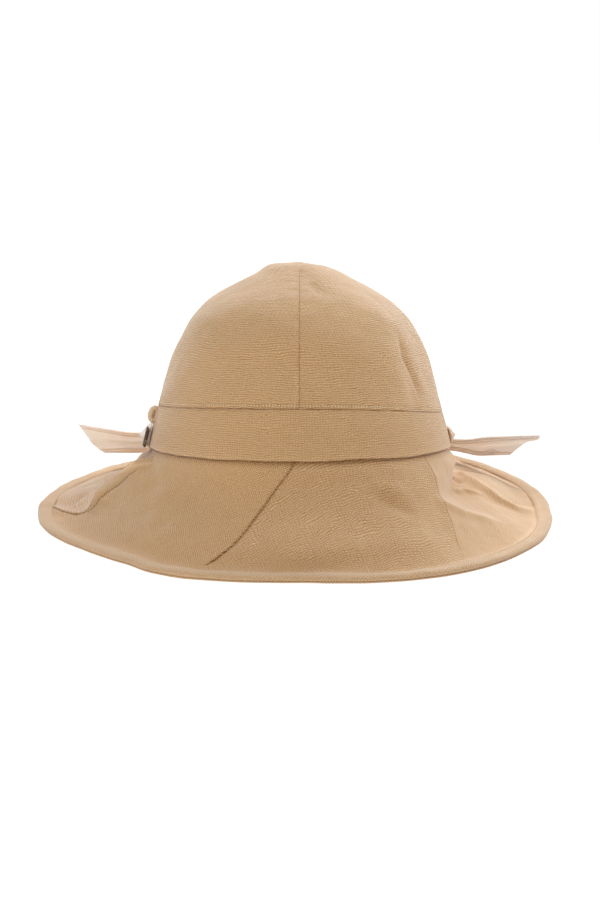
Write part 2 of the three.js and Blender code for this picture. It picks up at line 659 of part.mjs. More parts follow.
// ---- Metal slide over the ribbon: a small plate with upright slots ----
function slideGeometry() {
  const { wide, tall, thick, bar, slots } = SLIDE;
  let plate = solidOf(new THREE.BoxGeometry(wide, tall, thick));
  const slotWide = (wide - (slots + 1) * bar) / slots;
  for (let i = 0; i < slots; i += 1) {
    const slot = new THREE.BoxGeometry(slotWide, tall - 2 * bar, 3 * thick);
    slot.translate((i - (slots - 1) / 2) * (slotWide + bar), 0, 0);
    plate = plate.subtract(solidOf(slot));
  }
  return geometryOf(plate).translate(0, 0, thick / 2);
}
placeOnBand(add("metal_slide", slideGeometry(), slideMetal), SLIDE);

// ---- Keeper loop, a cord standing out from the band over the slide ----
function keeperGeometry() {
  const path = new THREE.EllipseCurve(0, 0, KEEPER.halfOut, KEEPER.halfTall);
  const loops = [];
  for (let i = 0; i < KEEPER_STEPS; i += 1) {
    const angle = (i / KEEPER_STEPS) * 2 * Math.PI;
    const centre = path.getPoint(i / KEEPER_STEPS);
    const out = new THREE.Vector2(Math.cos(angle), Math.sin(angle));
    const loop = [];
    for (let k = 0; k < KEEPER_SIDES; k += 1) {
      const round = (k / KEEPER_SIDES) * 2 * Math.PI;
      const across = KEEPER.cord * Math.sin(round);
      const outwards = out.clone().multiplyScalar(KEEPER.cord * Math.cos(round)).add(centre);
      loop.push(new THREE.Vector3(across, outwards.y, outwards.x));
    }
    loops.push(loop);
  }
  return loft(loops, true);
}
placeOnBand(add("keeper_loop", keeperGeometry(), ribbonLinen), KEEPER);

// ---- Stand the hat over the origin: the middle of the rim's bounding box ----
const rimBox = new THREE.Box3();
for (let i = 0; i < TAPE_STEPS; i += 1) {
  const bearing = (i * TURN) / TAPE_STEPS;
  rimBox.expandByPoint(onBearing(bearing, aroundHat(RIM_REACH, "reach", bearing), 0));
}
hat.position.copy(rimBox.getCenter(new THREE.Vector3()).negate());

export default hat;
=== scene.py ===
# %% [markdown]
# # A linen cloche hat
# The hat stands on its brim, front towards the viewer. Its real pieces are a crown of six gores, a plain
# band, a brim of six panels with a bound rim, and a ribbon that runs round the back to a knot with two
# loose tails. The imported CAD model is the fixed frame: every piece here is a finer, softer version of one
# of its nodes and takes that node's place. All the surfaces come from a few formulas that give a point for
# a bearing round the hat and a place along its profile, so neighbouring pieces meet without fitting. The
# folds are made in code and not by a cloth simulation, because two stiffened layers keep the shape that
# they were pressed to.

# %% Load the frame
import math
from collections import namedtuple

import bmesh
import bpy
import numpy as np
from mathutils import Matrix, Vector


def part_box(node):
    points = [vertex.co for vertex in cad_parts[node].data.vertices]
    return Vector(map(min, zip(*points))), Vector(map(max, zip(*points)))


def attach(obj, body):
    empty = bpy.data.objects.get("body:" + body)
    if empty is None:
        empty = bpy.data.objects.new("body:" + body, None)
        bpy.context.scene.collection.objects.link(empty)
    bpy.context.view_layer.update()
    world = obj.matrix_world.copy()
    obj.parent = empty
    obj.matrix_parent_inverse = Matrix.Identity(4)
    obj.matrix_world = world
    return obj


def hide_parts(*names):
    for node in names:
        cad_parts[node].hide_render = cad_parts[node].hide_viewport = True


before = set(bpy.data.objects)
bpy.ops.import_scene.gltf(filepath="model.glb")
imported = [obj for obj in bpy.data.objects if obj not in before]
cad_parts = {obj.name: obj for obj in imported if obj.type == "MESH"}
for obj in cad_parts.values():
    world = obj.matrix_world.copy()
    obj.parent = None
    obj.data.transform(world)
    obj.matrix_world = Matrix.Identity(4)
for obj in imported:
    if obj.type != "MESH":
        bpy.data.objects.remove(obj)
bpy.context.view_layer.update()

scene = bpy.context.scene
band_low, band_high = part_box("band")
print("frame loaded:", len(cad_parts), "nodes")

# %% [markdown]
# ## Driving sizes
# Lengths are in millimetres here and become metres when a mesh is made. The head's width and the hat's axis
# are read from the band in the frame. The head opening is tilted back, so heights on the band and crown are
# counted from that tilted plane, the headline.

# %% Sizes of the head, the band and the cloth
MM = 0.001
DEG = math.pi / 180
TURN = 360
HAT_AXIS = np.array([0.5 * (band_low.x + band_high.x), 0.5 * (band_low.y + band_high.y), 0.0]) / MM
HEAD_HALF_WIDTH = 0.5 * (band_high.x - band_low.x) / MM
HEAD_LENGTH_RATIO = 1.095
HEADLINE_HEIGHT = 38.5
HEADLINE_TILT = 9.1
BAND_TOP_HALF_WIDTH = HEAD_HALF_WIDTH - 6.1
BAND_HEIGHT = 25.5
BAND_FRONT_EXTRA = 2.5
BAND_SUNK = (1.4, 5.2)  # how far the crown sinks over the band at the left and at the right
BAND_BELLY = 0.5
BAND_CLOTH = 1.6
CLOTH = 1.5
TAPE_WIDTH = 9.0
print(f"head {2 * HEAD_HALF_WIDTH:.1f} mm wide, hat axis at {HAT_AXIS.round(2)} mm")

# %% [markdown]
# ## Outlines as short tables
# Each row is one place that a maker would measure: the crown's width at a height, how far the rim reaches
# on a bearing, and the brim's section there. Bearing 0 is the front and 90 is the viewer's right.

# %% Tables of the crown and the brim
CROWN_PROFILE = [  # height over the headline, half-width
    (20, 84.9),
    (34, 81.3),
    (48, 77.4),
    (62, 72.4),
    (76, 63.4),
    (86.4, 52),
    (94.3, 39.8),
    (101.4, 25.8),
    (106.9, 12.5),
    (108.8, 0),
]
CROWN_DENTS = [  # bearing, height, out, spread in degrees, spread up
    (84, 84, 0.2, 30, 20),
    (-88, 90, 0.2, 34, 11),
    (-95, 106.2, 3.4, 50, 3.0),
    (85, 103.5, 1.2, 45, 3.5),
    (2, 48, -1.6, 13, 15),
    (51, 40, -1.3, 5, 20),
    (70, 64, -1.2, 9, 14),
    (-140, 66, -1.5, 18, 14),
    (150, 56, -1.5, 15, 16),
]
RIM_REACH = [  # bearing, reach from the hat's axis
    (-150, 140.8),
    (-125, 146.4),
    (-105, 151.2),
    (-85, 155.7),
    (-70, 155),
    (-55, 150.7),
    (-42, 149.2),
    (-27, 153.6),
    (0, 147.8),
    (20, 155.2),
    (38, 158.2),
    (60, 156),
    (85, 149.8),
    (118, 147.6),
    (150, 149.2),
    (180, 139.5),
]
BRIM_SECTIONS = [  # bearing, shoulder out and up, foot out and up, skirt out and up
    (-150, 5, 19.5, 14, 13.5, 29, 8),
    (-115, 5, 25.5, 13, 17, 32, 9),
    (-91, 6, 31, 13, 21, 32, 9),
    (-72, 6, 32, 15, 21.5, 33, 9.5),
    (-40, 3.5, 39, 12, 26, 30, 12),
    (0, 3.5, 41, 11, 28, 29, 12.5),
    (22, 4, 40, 12, 28, 32, 13),
    (45, 6.5, 37, 15, 26, 33, 12),
    (66, 3.8, 34, 5, 20, 26, 11.5),
    (88, 3, 31.5, 1.6, 20, 23, 12.5),
    (112, 3.4, 25.5, 7.5, 17, 27, 11),
    (145, 5, 19.5, 14, 13.5, 30, 8),
    (180, 4.5, 17.5, 13, 12.5, 26, 7.5),
]
# Where the brim's profile passes the tuck behind the band, the headline, below the band, the shoulder, the
# foot, the skirt, the hem and the cloth's outer edge.
BRIM_PLACES = np.array([-0.06, 0, 0.03, 0.18, 0.37, 0.64, 0.9, 1.0])
BRIM_TUCK = 5
BRIM_BEHIND_BAND = 0.45
BRIM_BELOW_BAND = (1.6, -2.4)  # out and up
BRIM_HEM_IN = TAPE_WIDTH + 0.3
BRIM_EDGE_IN = 1.3
BRIM_EDGE_UP = 2.8
print("tables:", len(CROWN_PROFILE), "crown rows,", len(BRIM_SECTIONS), "brim sections")

# %% [markdown]
# ## Curves through the tables
# A smooth cubic runs through the rows, once round the hat or once along a profile. Both work on whole
# arrays of bearings, because a mesh of some ten thousand points is made at a time.


# %% Smooth curves
def hermite(low, high, low_slope, high_slope, t):
    t2 = t * t
    t3 = t2 * t
    values = (2 * t3 - 3 * t2 + 1) * low + (3 * t2 - 2 * t3) * high
    return values + (t3 - 2 * t2 + t) * low_slope + (t3 - t2) * high_slope


def around_hat(rows, column, bearing):
    """A smooth value of one column between the rows that lie round the hat."""
    at = np.array([row[0] for row in rows], float)
    value = np.array([row[column] for row in rows], float)
    at = np.concatenate([at[-2:] - TURN, at, at[:3] + TURN])
    value = np.concatenate([value[-2:], value, value[:3]])
    wrapped = at[2] + np.mod(np.asarray(bearing, float) - at[2], TURN)
    i = np.clip(np.searchsorted(at, wrapped, side="right") - 1, 1, len(at) - 3)
    span = at[i + 1] - at[i]
    low_slope = (value[i + 1] - value[i - 1]) / (at[i + 1] - at[i - 1]) * span
    high_slope = (value[i + 2] - value[i]) / (at[i + 2] - at[i]) * span
    return hermite(value[i], value[i + 1], low_slope, high_slope, (wrapped - at[i]) / span)


def through_points(points, knots, at):
    """Points on the smooth curve through points[k] at knots[k]. The first and last spans are straight."""
    points = np.asarray(points, float)
    knots = np.asarray(knots, float)
    at = np.asarray(at, float)
    last = len(knots) - 1
    spans = (knots[1:] - knots[:-1]).reshape((-1,) + (1,) * (points.ndim - 1))
    secants = (points[1:] - points[:-1]) / spans
    slopes = [secants[0], secants[0]]
    for k in range(2, last - 1):
        left = knots[k] - knots[k - 1]
        right = knots[k + 1] - knots[k]
        slopes.append((secants[k - 1] * right + secants[k] * left) / (left + right))
    slopes = np.array((slopes + [secants[-1], secants[-1]])[: last + 1])
    i = np.clip(np.searchsorted(knots, at, side="right") - 1, 0, last - 1)
    span = (knots[i + 1] - knots[i])[..., None]
    t = (at - knots[i])[..., None] / span

    def pick(rows, which):
        if rows.ndim == 2:
            return rows[which]
        return np.take_along_axis(rows, which[None, ..., None], 0)[0]

    low_slope = pick(slopes, i) * span
    high_slope = pick(slopes, i + 1) * span
    return hermite(pick(points, i), pick(points, i + 1), low_slope, high_slope, t)


def curve_value(path, place):
    """The second number of a path of (place, number) rows, along a smooth curve."""
    rows = np.array(path, float)
    return through_points(rows[:, 1:], rows[:, 0], place)[..., 0]


def wrap(angle):
    return np.mod(np.asarray(angle, float) + 180, TURN) - 180


def smooth_step(low, high, value):
    t = np.clip((value - low) / (high - low), 0, 1)
    return t * t * (3 - 2 * t)


def hill(distance, width):
    """1 on a line, falling to nothing beyond about twice the width on either side."""
    return np.exp(-((distance / width) ** 2))


def stacked(*parts):
    """Points or coordinates from arrays that fit each other, one for each axis."""
    return np.stack(np.broadcast_arrays(*parts), -1)


def walk(line):
    """Length from the first point of a line to each of its points."""
    return np.concatenate([[0], np.cumsum(np.linalg.norm(np.diff(line, axis=0), axis=1))])


def from_axis(points):
    return np.hypot(points[..., 0], points[..., 1])


print("rim reach on bearing 10:", round(float(around_hat(RIM_REACH, 1, 10)), 1), "mm")


# %% [markdown]
# ## The hat's own surfaces
# Two smooth base surfaces carry everything: the crown, widest at the band, and the brim, which drops from
# the headline over a shoulder and flares out to the rim. Dents, folds, seams and puckers are added to them
# along the direction that points away from the cloth.


# %% Base surfaces
def on_bearing(bearing, reach, up):
    bearing = np.asarray(bearing, float)
    return stacked(reach * np.sin(bearing * DEG), -reach * np.cos(bearing * DEG), up)


def oval_reach(bearing, half_width):
    across = np.sin(bearing * DEG) / half_width
    along = np.cos(bearing * DEG) / (half_width * HEAD_LENGTH_RATIO)
    return 1 / np.hypot(across, along)


def on_head(bearing, half_width, height):
    level = on_bearing(bearing, oval_reach(bearing, half_width), height)
    cosine = math.cos(HEADLINE_TILT * DEG)
    sine = math.sin(HEADLINE_TILT * DEG)
    y = level[..., 1] * cosine + level[..., 2] * sine
    z = level[..., 2] * cosine - level[..., 1] * sine + HEADLINE_HEIGHT
    return stacked(level[..., 0], y, z)


def band_cut(bearing):
    """Height the band was cut to, before the crown sank over it at the sides."""
    return BAND_HEIGHT + BAND_FRONT_EXTRA * np.cos(np.asarray(bearing) * DEG)


def band_height(bearing):
    sideways = np.sin(np.asarray(bearing) * DEG)
    return band_cut(bearing) - np.where(sideways > 0, BAND_SUNK[1], BAND_SUNK[0]) * sideways**2


def band_half_width(bearing, height):
    share = height / band_cut(bearing)
    straight = HEAD_HALF_WIDTH + (BAND_TOP_HALF_WIDTH - HEAD_HALF_WIDTH) * share
    return straight + BAND_BELLY * 4 * share * (1 - share)


def crown_outline(place):
    """Half-width and height at a place along the rows of CROWN_PROFILE."""
    points = np.array([(width, height) for height, width in CROWN_PROFILE], float)
    found = through_points(points, np.arange(len(points)), place)
    return found[..., 0], found[..., 1]


def crown_base(bearing, place):
    half_width, height = crown_outline(place)
    return on_head(bearing, half_width, height)


def brim_base(bearing, place):
    bearing = np.asarray(bearing, float)
    behind = BAND_CLOTH + BRIM_BEHIND_BAND
    root = HEAD_HALF_WIDTH - behind
    reach = from_axis(on_head(bearing, HEAD_HALF_WIDTH, 0))
    rim = around_hat(RIM_REACH, 1, bearing)
    section = [around_hat(BRIM_SECTIONS, column, bearing) for column in range(1, 7)]
    points = [
        on_head(bearing, band_half_width(bearing, BRIM_TUCK) - behind, BRIM_TUCK),
        on_head(bearing, root, 0),
        on_head(bearing, root + BRIM_BELOW_BAND[0], BRIM_BELOW_BAND[1]),
        on_bearing(bearing, reach + section[0], section[1]),
        on_bearing(bearing, reach + section[2], section[3]),
        on_bearing(bearing, reach + section[4], section[5]),
        on_bearing(bearing, rim - BRIM_HEM_IN, BRIM_EDGE_UP),
        on_bearing(bearing, rim - BRIM_EDGE_IN, BRIM_EDGE_UP),
    ]
    return through_points(np.stack(points), BRIM_PLACES, place)


def away_from(surface, bearing, place, facing):
    """Unit direction across a surface, on the side that facing (1 or -1) gives."""
    round_step = surface(bearing + 0.5, place) - surface(bearing - 0.5, place)
    along_step = surface(bearing, place + 0.01) - surface(bearing, place - 0.01)
    across = np.cross(round_step, along_step) * facing
    return across / np.linalg.norm(across, axis=-1, keepdims=True)


top_front = crown_base(np.array([0.0]), np.array([8.9]))[0]
print("crown top at", top_front.round(1), "mm from the axis")


# %% [markdown]
# ## Folds, puckers and slack
# Cloth is never an exact surface. A fold is a line on it, given by a few points, that lifts the cloth and
# fades to either side. Along the same line it may carry painted light: a lighter tone painted on a crest
# that catches light, a deeper one painted in a hollow in shade. Slack is a slow, random swell made from a
# handful of waves with a fixed seed. It reads the place in space, so it runs on across seams without a step.

# %% Helpers that move cloth in and out
# A line of (bearing, place) points, the lift in mm, its width on either side, the painted light along it
# (above 0 a painted highlight, below 0 painted shade) and its width, the shares of the line over which it
# fades at its ends, and how flat its crest is.
Fold = namedtuple(
    "Fold", "line lift left right crease crease_width fade_in fade_out power", defaults=(0, 1.2, 0.3, 0.3, 2)
)
FOLD_REACH = 120  # a line's length is measured this far from the hat's axis
SLACK_WAVES = 9


def slack(points, wavelength, seed):
    """Smooth random swell between about -1 and 1."""
    rng = np.random.default_rng(seed)
    total = np.zeros(points.shape[:-1])
    for _ in range(SLACK_WAVES):
        direction = rng.normal(size=3)
        direction /= np.linalg.norm(direction)
        pitch = wavelength * rng.uniform(0.7, 1.5)
        total += np.cos(points @ direction * (2 * math.pi / pitch) + rng.uniform(0, 2 * math.pi))
    return total / math.sqrt(2 * SLACK_WAVES) * 1.2


def fold_lift(bearing, place, reach, length, folds):
    """Lift and painted light at each point. The surface is length mm long for each unit of place."""
    lift = np.zeros(np.broadcast(bearing, place).shape)
    crease = np.zeros_like(lift)
    for fold in folds:
        nearest = np.full(lift.shape, np.inf)
        side = np.zeros_like(lift)
        along = np.zeros_like(lift)
        spans = list(zip(fold.line, fold.line[1:]))
        steps = [math.hypot((b[0] - a[0]) * DEG * FOLD_REACH, (b[1] - a[1]) * length) for a, b in spans]
        walked = 0.0
        for (a, b), step in zip(spans, steps):
            x = wrap(bearing - a[0]) * DEG * reach
            y = (place - a[1]) * length
            dx = (b[0] - a[0]) * DEG * reach
            dy = (b[1] - a[1]) * length
            t = np.clip((x * dx + y * dy) / (dx * dx + dy * dy), 0, 1)
            away = np.hypot(x - dx * t, y - dy * t)
            closer = away < nearest
            nearest = np.where(closer, away, nearest)
            side = np.where(closer, np.sign(x * dy - y * dx), side)
            along = np.where(closer, (walked + step * t) / sum(steps), along)
            walked += step
        shape = np.exp(-((nearest / np.where(side < 0, fold.left, fold.right)) ** fold.power))
        fade = smooth_step(0, fold.fade_in, along) * smooth_step(0, fold.fade_out, 1 - along)
        lift += fold.lift * shape * fade
        crease += fold.crease * hill(nearest, fold.crease_width) * fade
    return lift, crease


def rolled_edge(distance, radius):
    """How far cloth drops as it turns down into a seam or over a folded edge."""
    inside = np.clip(radius - distance, 0, radius)
    return radius - np.sqrt(radius * radius - inside * inside)


print("slack sample:", slack(np.zeros((1, 3)), 40, 1).round(2))


# %% [markdown]
# ## Making a mesh
# A piece of cloth is a grid of outer points with a partner inside each. The two sheets are closed along
# their four edges, so the piece is one closed body with a real thickness. Each point carries the cloth's
# own coordinates, along and across the threads, as a UV map in metres: the weave then turns with the cut of
# the piece. A second value, the painted light, tells the material where to paint light and shade into the
# colour: a lighter tone where a crest catches light, a deeper one where a hollow lies in shade.


# %% Mesh builders
def put_in_scene(name, data):
    thing = bpy.data.objects.new(name, data)
    scene.collection.objects.link(thing)
    return thing


def seat(piece, replaced=()):
    """Fixes a piece to the hat's one body, in place of the frame's own nodes."""
    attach(piece, "root")
    if replaced:
        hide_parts(*replaced)
    print(f"{piece.name}: {len(piece.data.polygons)} faces")
    return piece


def mesh_piece(name, points, faces, grain, crease, material, replaced, caps=()):
    corners = np.asarray(points, float)
    quads = np.asarray(faces, int)
    triangles = np.asarray(caps, int).reshape(-1, 3)
    a, b, c, d = (corners[quads[:, k]] for k in range(4))
    volume = np.einsum("ij,ij->", a, np.cross(b, c)) + np.einsum("ij,ij->", a, np.cross(c, d))
    if volume < 0:
        quads = quads[:, ::-1]
        triangles = triangles[:, ::-1]
    mesh = bpy.data.meshes.new(name)
    mesh.from_pydata(((corners + HAT_AXIS) * MM).tolist(), [], quads.tolist() + triangles.tolist())
    threads = mesh.uv_layers.new(name="threads")
    loop_points = np.empty(len(mesh.loops), int)
    mesh.loops.foreach_get("vertex_index", loop_points)
    threads.data.foreach_set("uv", (np.asarray(grain, float)[loop_points] * MM).ravel())
    # the painted light and shade of each point, which the material adds to the cloth's colour
    painted_light_values = mesh.attributes.new("crease", "FLOAT", "POINT")
    painted_light_values.data.foreach_set("value", np.asarray(crease, float))
    joined = bmesh.new()
    joined.from_mesh(mesh)
    bmesh.ops.remove_doubles(joined, verts=joined.verts, dist=1e-7)
    joined.to_mesh(mesh)
    joined.free()
    mesh.shade_smooth()
    mesh.materials.append(material)
    return seat(put_in_scene(name, mesh), replaced)


def grid_faces(rows, columns, first=0):
    r, c = np.meshgrid(np.arange(rows - 1), np.arange(columns - 1), indexing="ij")
    start = first + r * columns + c
    return np.stack([start, start + 1, start + columns + 1, start + columns], -1).reshape(-1, 4)


def cloth_wall(name, outer, inner, grain, crease, material, replaced=()):
    rows, columns = outer.shape[:2]
    count = rows * columns
    index = np.arange(count).reshape(rows, columns)
    strips = []
    for rim, way in ((index[0], 1), (index[-1], -1), (index[:, 0], -1), (index[:, -1], 1)):
        strip = np.stack([rim[:-1], rim[:-1] + count, rim[1:] + count, rim[1:]], -1)
        strips.append(strip[:, ::way])
    inside = grid_faces(rows, columns, count)[:, ::-1]
    faces = np.concatenate([grid_faces(rows, columns), inside] + strips)
    points = np.concatenate([outer.reshape(-1, 3), inner.reshape(-1, 3)])
    threads = np.tile(grain.reshape(-1, 2), (2, 1))
    painted_light_values = np.concatenate([crease.ravel(), np.zeros(count)])
    return mesh_piece(name, points, faces, threads, painted_light_values, material, replaced)


def closed_tube(name, loops, grain, crease, material, replaced, ring=False):
    """A body through rows of sections. Each repeats its first point at its end, and a ring its first row."""
    rows, columns = loops.shape[:2]
    points = loops.reshape(-1, 3)
    threads = grain.reshape(-1, 2)
    painted_light_values = crease.ravel()
    caps = []
    if not ring:
        for row, way in ((0, -1), (rows - 1, 1)):
            middle = np.full(columns - 1, len(points))
            points = np.concatenate([points, loops[row, :-1].mean(0)[None]])
            threads = np.concatenate([threads, grain[row].mean(0)[None]])
            painted_light_values = np.append(painted_light_values, 0.0)
            rim = row * columns + np.arange(columns)
            caps.append(np.stack([rim[:-1], rim[1:], middle], -1)[:, ::way])
        caps = np.concatenate(caps)
    faces = grid_faces(rows, columns)
    return mesh_piece(name, points, faces, threads, painted_light_values, material, replaced, caps)


print("builders ready")

# %% [markdown]
# ## Camera, light and floor
# The camera looks at the hat from the front and a little above. The light is soft: a bright pale room, a
# large lamp on each side and one above and behind, which draw out the edges of the crown and the top of the
# brim. The front fill is weaker, so that the folds keep their shadows. The floor is a plain pale sheet, so
# wide that its far edge never shows.

# %% Camera
LOOK_DOWN = 14.5 * DEG
CAMERA_AWAY = 1.3
CAMERA_AIM = np.array([0.0033, 0.014, 0.033])
camera_data = bpy.data.cameras.new("camera")
camera_data.sensor_fit = "VERTICAL"
camera_data.sensor_height = 36.0
camera_data.lens = 86.67
camera = put_in_scene("camera", camera_data)
camera.location = CAMERA_AIM + CAMERA_AWAY * np.array([0, -math.cos(LOOK_DOWN), math.sin(LOOK_DOWN)])
camera.rotation_euler = (math.pi / 2 - LOOK_DOWN, 0, 0)
scene.camera = camera
scene.view_settings.view_transform = "Standard"
print("camera at", [round(value, 4) for value in camera.location])

# %% Light
LAMPS = [  # name, place, size, power
    ("left_lamp", (-1.1, 0.2, 1.2), (0.8, 0.8), 4.7),
    ("right_lamp", (1.1, 0.2, 1.2), (0.8, 0.8), 10.0),
    ("right_back_lamp", (1.0, 0.9, 0.7), (0.8, 0.8), 7.5),
    ("back_lamp", (0.0, 1.3, 0.9), (1.2, 0.7), 19.5),
    ("top_lamp", (0.0, 0.1, 1.5), (1.0, 1.0), 1.2),
    ("front_left_lamp", (-0.9, -1.0, 1.1), (0.9, 0.9), 7.7),
    ("front_lamp", (0.0, -1.5, 0.9), (1.2, 1.0), 4.6),
]
LAMP_AIM = Vector((0.0, 0.0, 0.07))


def soft_lamp(name, place, size, power):
    lamp = bpy.data.lights.new(name, "AREA")
    lamp.shape = "RECTANGLE"
    lamp.size, lamp.size_y = size
    lamp.energy = power
    holder = put_in_scene(name, lamp)
    holder.location = place
    holder.rotation_euler = (LAMP_AIM - Vector(place)).to_track_quat("-Z", "Y").to_euler()


for lamp_row in LAMPS:
    soft_lamp(*lamp_row)
world = bpy.data.worlds.new("room")
world.use_nodes = True
world.node_tree.nodes["Background"].inputs["Color"].default_value = (1, 1, 1, 1)
world.node_tree.nodes["Background"].inputs["Strength"].default_value = 0.04
scene.world = world
print(len(LAMPS), "lamps")

# %% [markdown]
# ## Linen
# Linen is a plain weave of uneven threads. Its slubs are thick places that run along a thread, so the noise
# that makes them is stretched along the cloth's own coordinates. One function builds every cloth of the hat
# from the pitch of the ribs and of the columns, and gives height to the bump as well as painted shade to the
# colour, because threads hide light between them. The painted light of folds and seams goes into the same
# tone: a painted highlight on a crest, painted shade in a hollow.


# %% Small helpers for materials
class Wiring:
    """Short calls for the nodes of a tree."""

    def __init__(self, tree):
        self.tree = tree

    def fill(self, node, values):
        """Links or constants for a node's sockets, by name or by number."""
        for key, value in values.items():
            if isinstance(value, bpy.types.NodeSocket):
                self.tree.links.new(value, node.inputs[key])
            else:
                node.inputs[key].default_value = value

    def new(self, kind, values, output=0, **settings):
        """A new node with its sockets filled; gives one of its outputs."""
        node = self.tree.nodes.new(kind)
        for name, setting in settings.items():
            setattr(node, name, setting)
        self.fill(node, values)
        return node.outputs[output]

    def math(self, operation, *values):
        return self.new("ShaderNodeMath", dict(enumerate(values)), operation=operation)

    def times(self, first, *others):
        for other in others:
            first = self.math("MULTIPLY", first, other)
        return first

    def combine(self, *parts):
        return self.new("ShaderNodeCombineXYZ", dict(enumerate(parts)))

    def remap(self, *values):
        """A value, the two ends it runs between, and the two ends it is given instead."""
        return self.new("ShaderNodeMapRange", dict(enumerate(values)))

    def noise(self, vector, scale, detail=2.0, roughness=0.5):
        values = {"Vector": vector, "Scale": scale, "Detail": detail, "Roughness": roughness}
        return self.new("ShaderNodeTexNoise", values, "Fac")

    def mix(self, factor, first, second, blend="MIX"):
        colours = {0: factor, 6: first, 7: second}
        return self.new("ShaderNodeMix", colours, 2, data_type="RGBA", blend_type=blend, clamp_factor=True)

    def bump(self, height, strength, distance):
        return self.new("ShaderNodeBump", {"Height": height, "Strength": strength, "Distance": distance})


def new_material(name):
    material = bpy.data.materials.new(name)
    material.use_nodes = True
    return material, material.node_tree.nodes["Principled BSDF"], Wiring(material.node_tree)


def from_srgb(red, green, blue):
    """Colour for a shader from the 0 to 255 values of a colour chart."""
    parts = [value / 255 for value in (red, green, blue)]
    linear = [value / 12.92 if value <= 0.04045 else ((value + 0.055) / 1.055) ** 2.4 for value in parts]
    return (*linear, 1.0)


print("linen ground colour:", [round(value, 3) for value in from_srgb(205, 176, 142)])

# %% Linen
HOLLOW_TONES = (0.42, 0.6, 0.95)  # how much red, green and blue fall in a hollow
DARKEST = 0.08
# how strongly the painted light and shade of folds and seams change the colour
PAINTED_LIGHT_TONE = 0.34
CLOUD_TONE = 0.14


def threads_wave(wires, along, sway, pitch):
    """A wave across the threads, from -0.5 between them to 0.5 on their crests."""
    phase = wires.times(wires.math("ADD", along, sway), 2 * math.pi / pitch)
    return wires.times(wires.math("SINE", phase), 0.5)


def linen(
    name, colour, rib, column, rib_depth, column_depth, knot_depth=0.5, waviness=1.0, contrast=1.0,
    relief=0.4, tones=HOLLOW_TONES, haze=(1, 1, 1), extra=(),
):
    """Rib and column are pitches in metres; the depths say how much each shows, from 0 to 1."""
    material, shader, wires = new_material(name)
    flat = wires.new("ShaderNodeUVMap", {}, uv_map="threads")
    across = wires.new("ShaderNodeSeparateXYZ", {0: flat}, "X")
    along = wires.new("ShaderNodeSeparateXYZ", {0: flat}, "Y")

    def sideways(scale, far):
        return wires.math("MULTIPLY_ADD", wires.noise(flat, scale), far * waviness, -0.5 * far * waviness)

    sway = wires.math("ADD", sideways(48.0, 0.0044), sideways(230.0, 0.0016))
    ribs = threads_wave(wires, along, sway, rib)
    columns = threads_wave(wires, across, sway, column)
    # slubs: noise stretched along the threads of each direction
    long_ribs = wires.combine(wires.times(across, 260), wires.times(along, 800))
    long_columns = wires.combine(wires.times(across, 800), wires.times(along, 260), 3.0)
    slub_ribs = wires.remap(wires.noise(long_ribs, 1.0), 0.3, 0.7, 0.35, 1.25)
    slub_columns = wires.remap(wires.noise(long_columns, 1.0), 0.3, 0.7, 0.2, 1.3)
    patches = wires.remap(wires.noise(flat, 75.0), 0.35, 0.65, 0.75, 1.2)
    fibres = wires.math("SUBTRACT", wires.noise(flat, 1300.0), 0.5)
    cloudy = wires.math("SUBTRACT", wires.noise(flat, 22.0, 3.0), 0.5)
    rib_height = wires.times(ribs, slub_ribs, rib_depth)
    column_height = wires.times(columns, slub_columns, column_depth)
    knot_height = wires.times(ribs, columns, 2.0, knot_depth)
    woven = wires.math("ADD", wires.math("ADD", rib_height, column_height), knot_height)
    height = wires.math("MULTIPLY_ADD", fibres, 1.3, wires.times(woven, patches))
    # the tone: painted light and shade from the mesh, and painted shade between the threads
    crease = wires.new("ShaderNodeAttribute", {}, "Fac", attribute_name="crease")
    tone = wires.math("MULTIPLY_ADD", crease, PAINTED_LIGHT_TONE, wires.times(height, contrast))
    tone = wires.math("MULTIPLY_ADD", cloudy, CLOUD_TONE, tone)
    # painted shade, in the hollows between threads and along folds and seams, is deeper in colour, not only
    # darker
    parts = [wires.math("MAXIMUM", wires.math("MULTIPLY_ADD", tone, fall, 1.0), DARKEST) for fall in tones]
    shade = wires.combine(*parts)
    look = {
        "Base Color": wires.mix(1.0, from_srgb(*colour), shade, "MULTIPLY"),
        "Roughness": wires.remap(height, -0.5, 0.5, 0.95, 0.8),
        "Normal": wires.bump(height, relief, 0.0007),
        "Sheen Weight": 0.7,
        "Sheen Roughness": 0.5,
        "Sheen Tint": (*haze, 1),
        "Specular IOR Level": 0.2,
    }
    look.update(extra)
    wires.fill(shader, look)
    return material


print("one function for every linen")

# %% [markdown]
# ## The cloths of this hat
# The crown and band show level ribs, and the brim an uneven grid. The front left panel was cut on the slant
# and shows a finer, crisper weave. The front and right panels are worn smooth. Short fibres stand off old
# linen and catch light as a warm haze, which the sheen gives; the panels behind keep a plain one. The
# ribbon is thinner and softer, so some light goes through it. Its length on the right of the band has a
# browner copy of its colour and its right tail a greyer, darker one: both are painted shade.

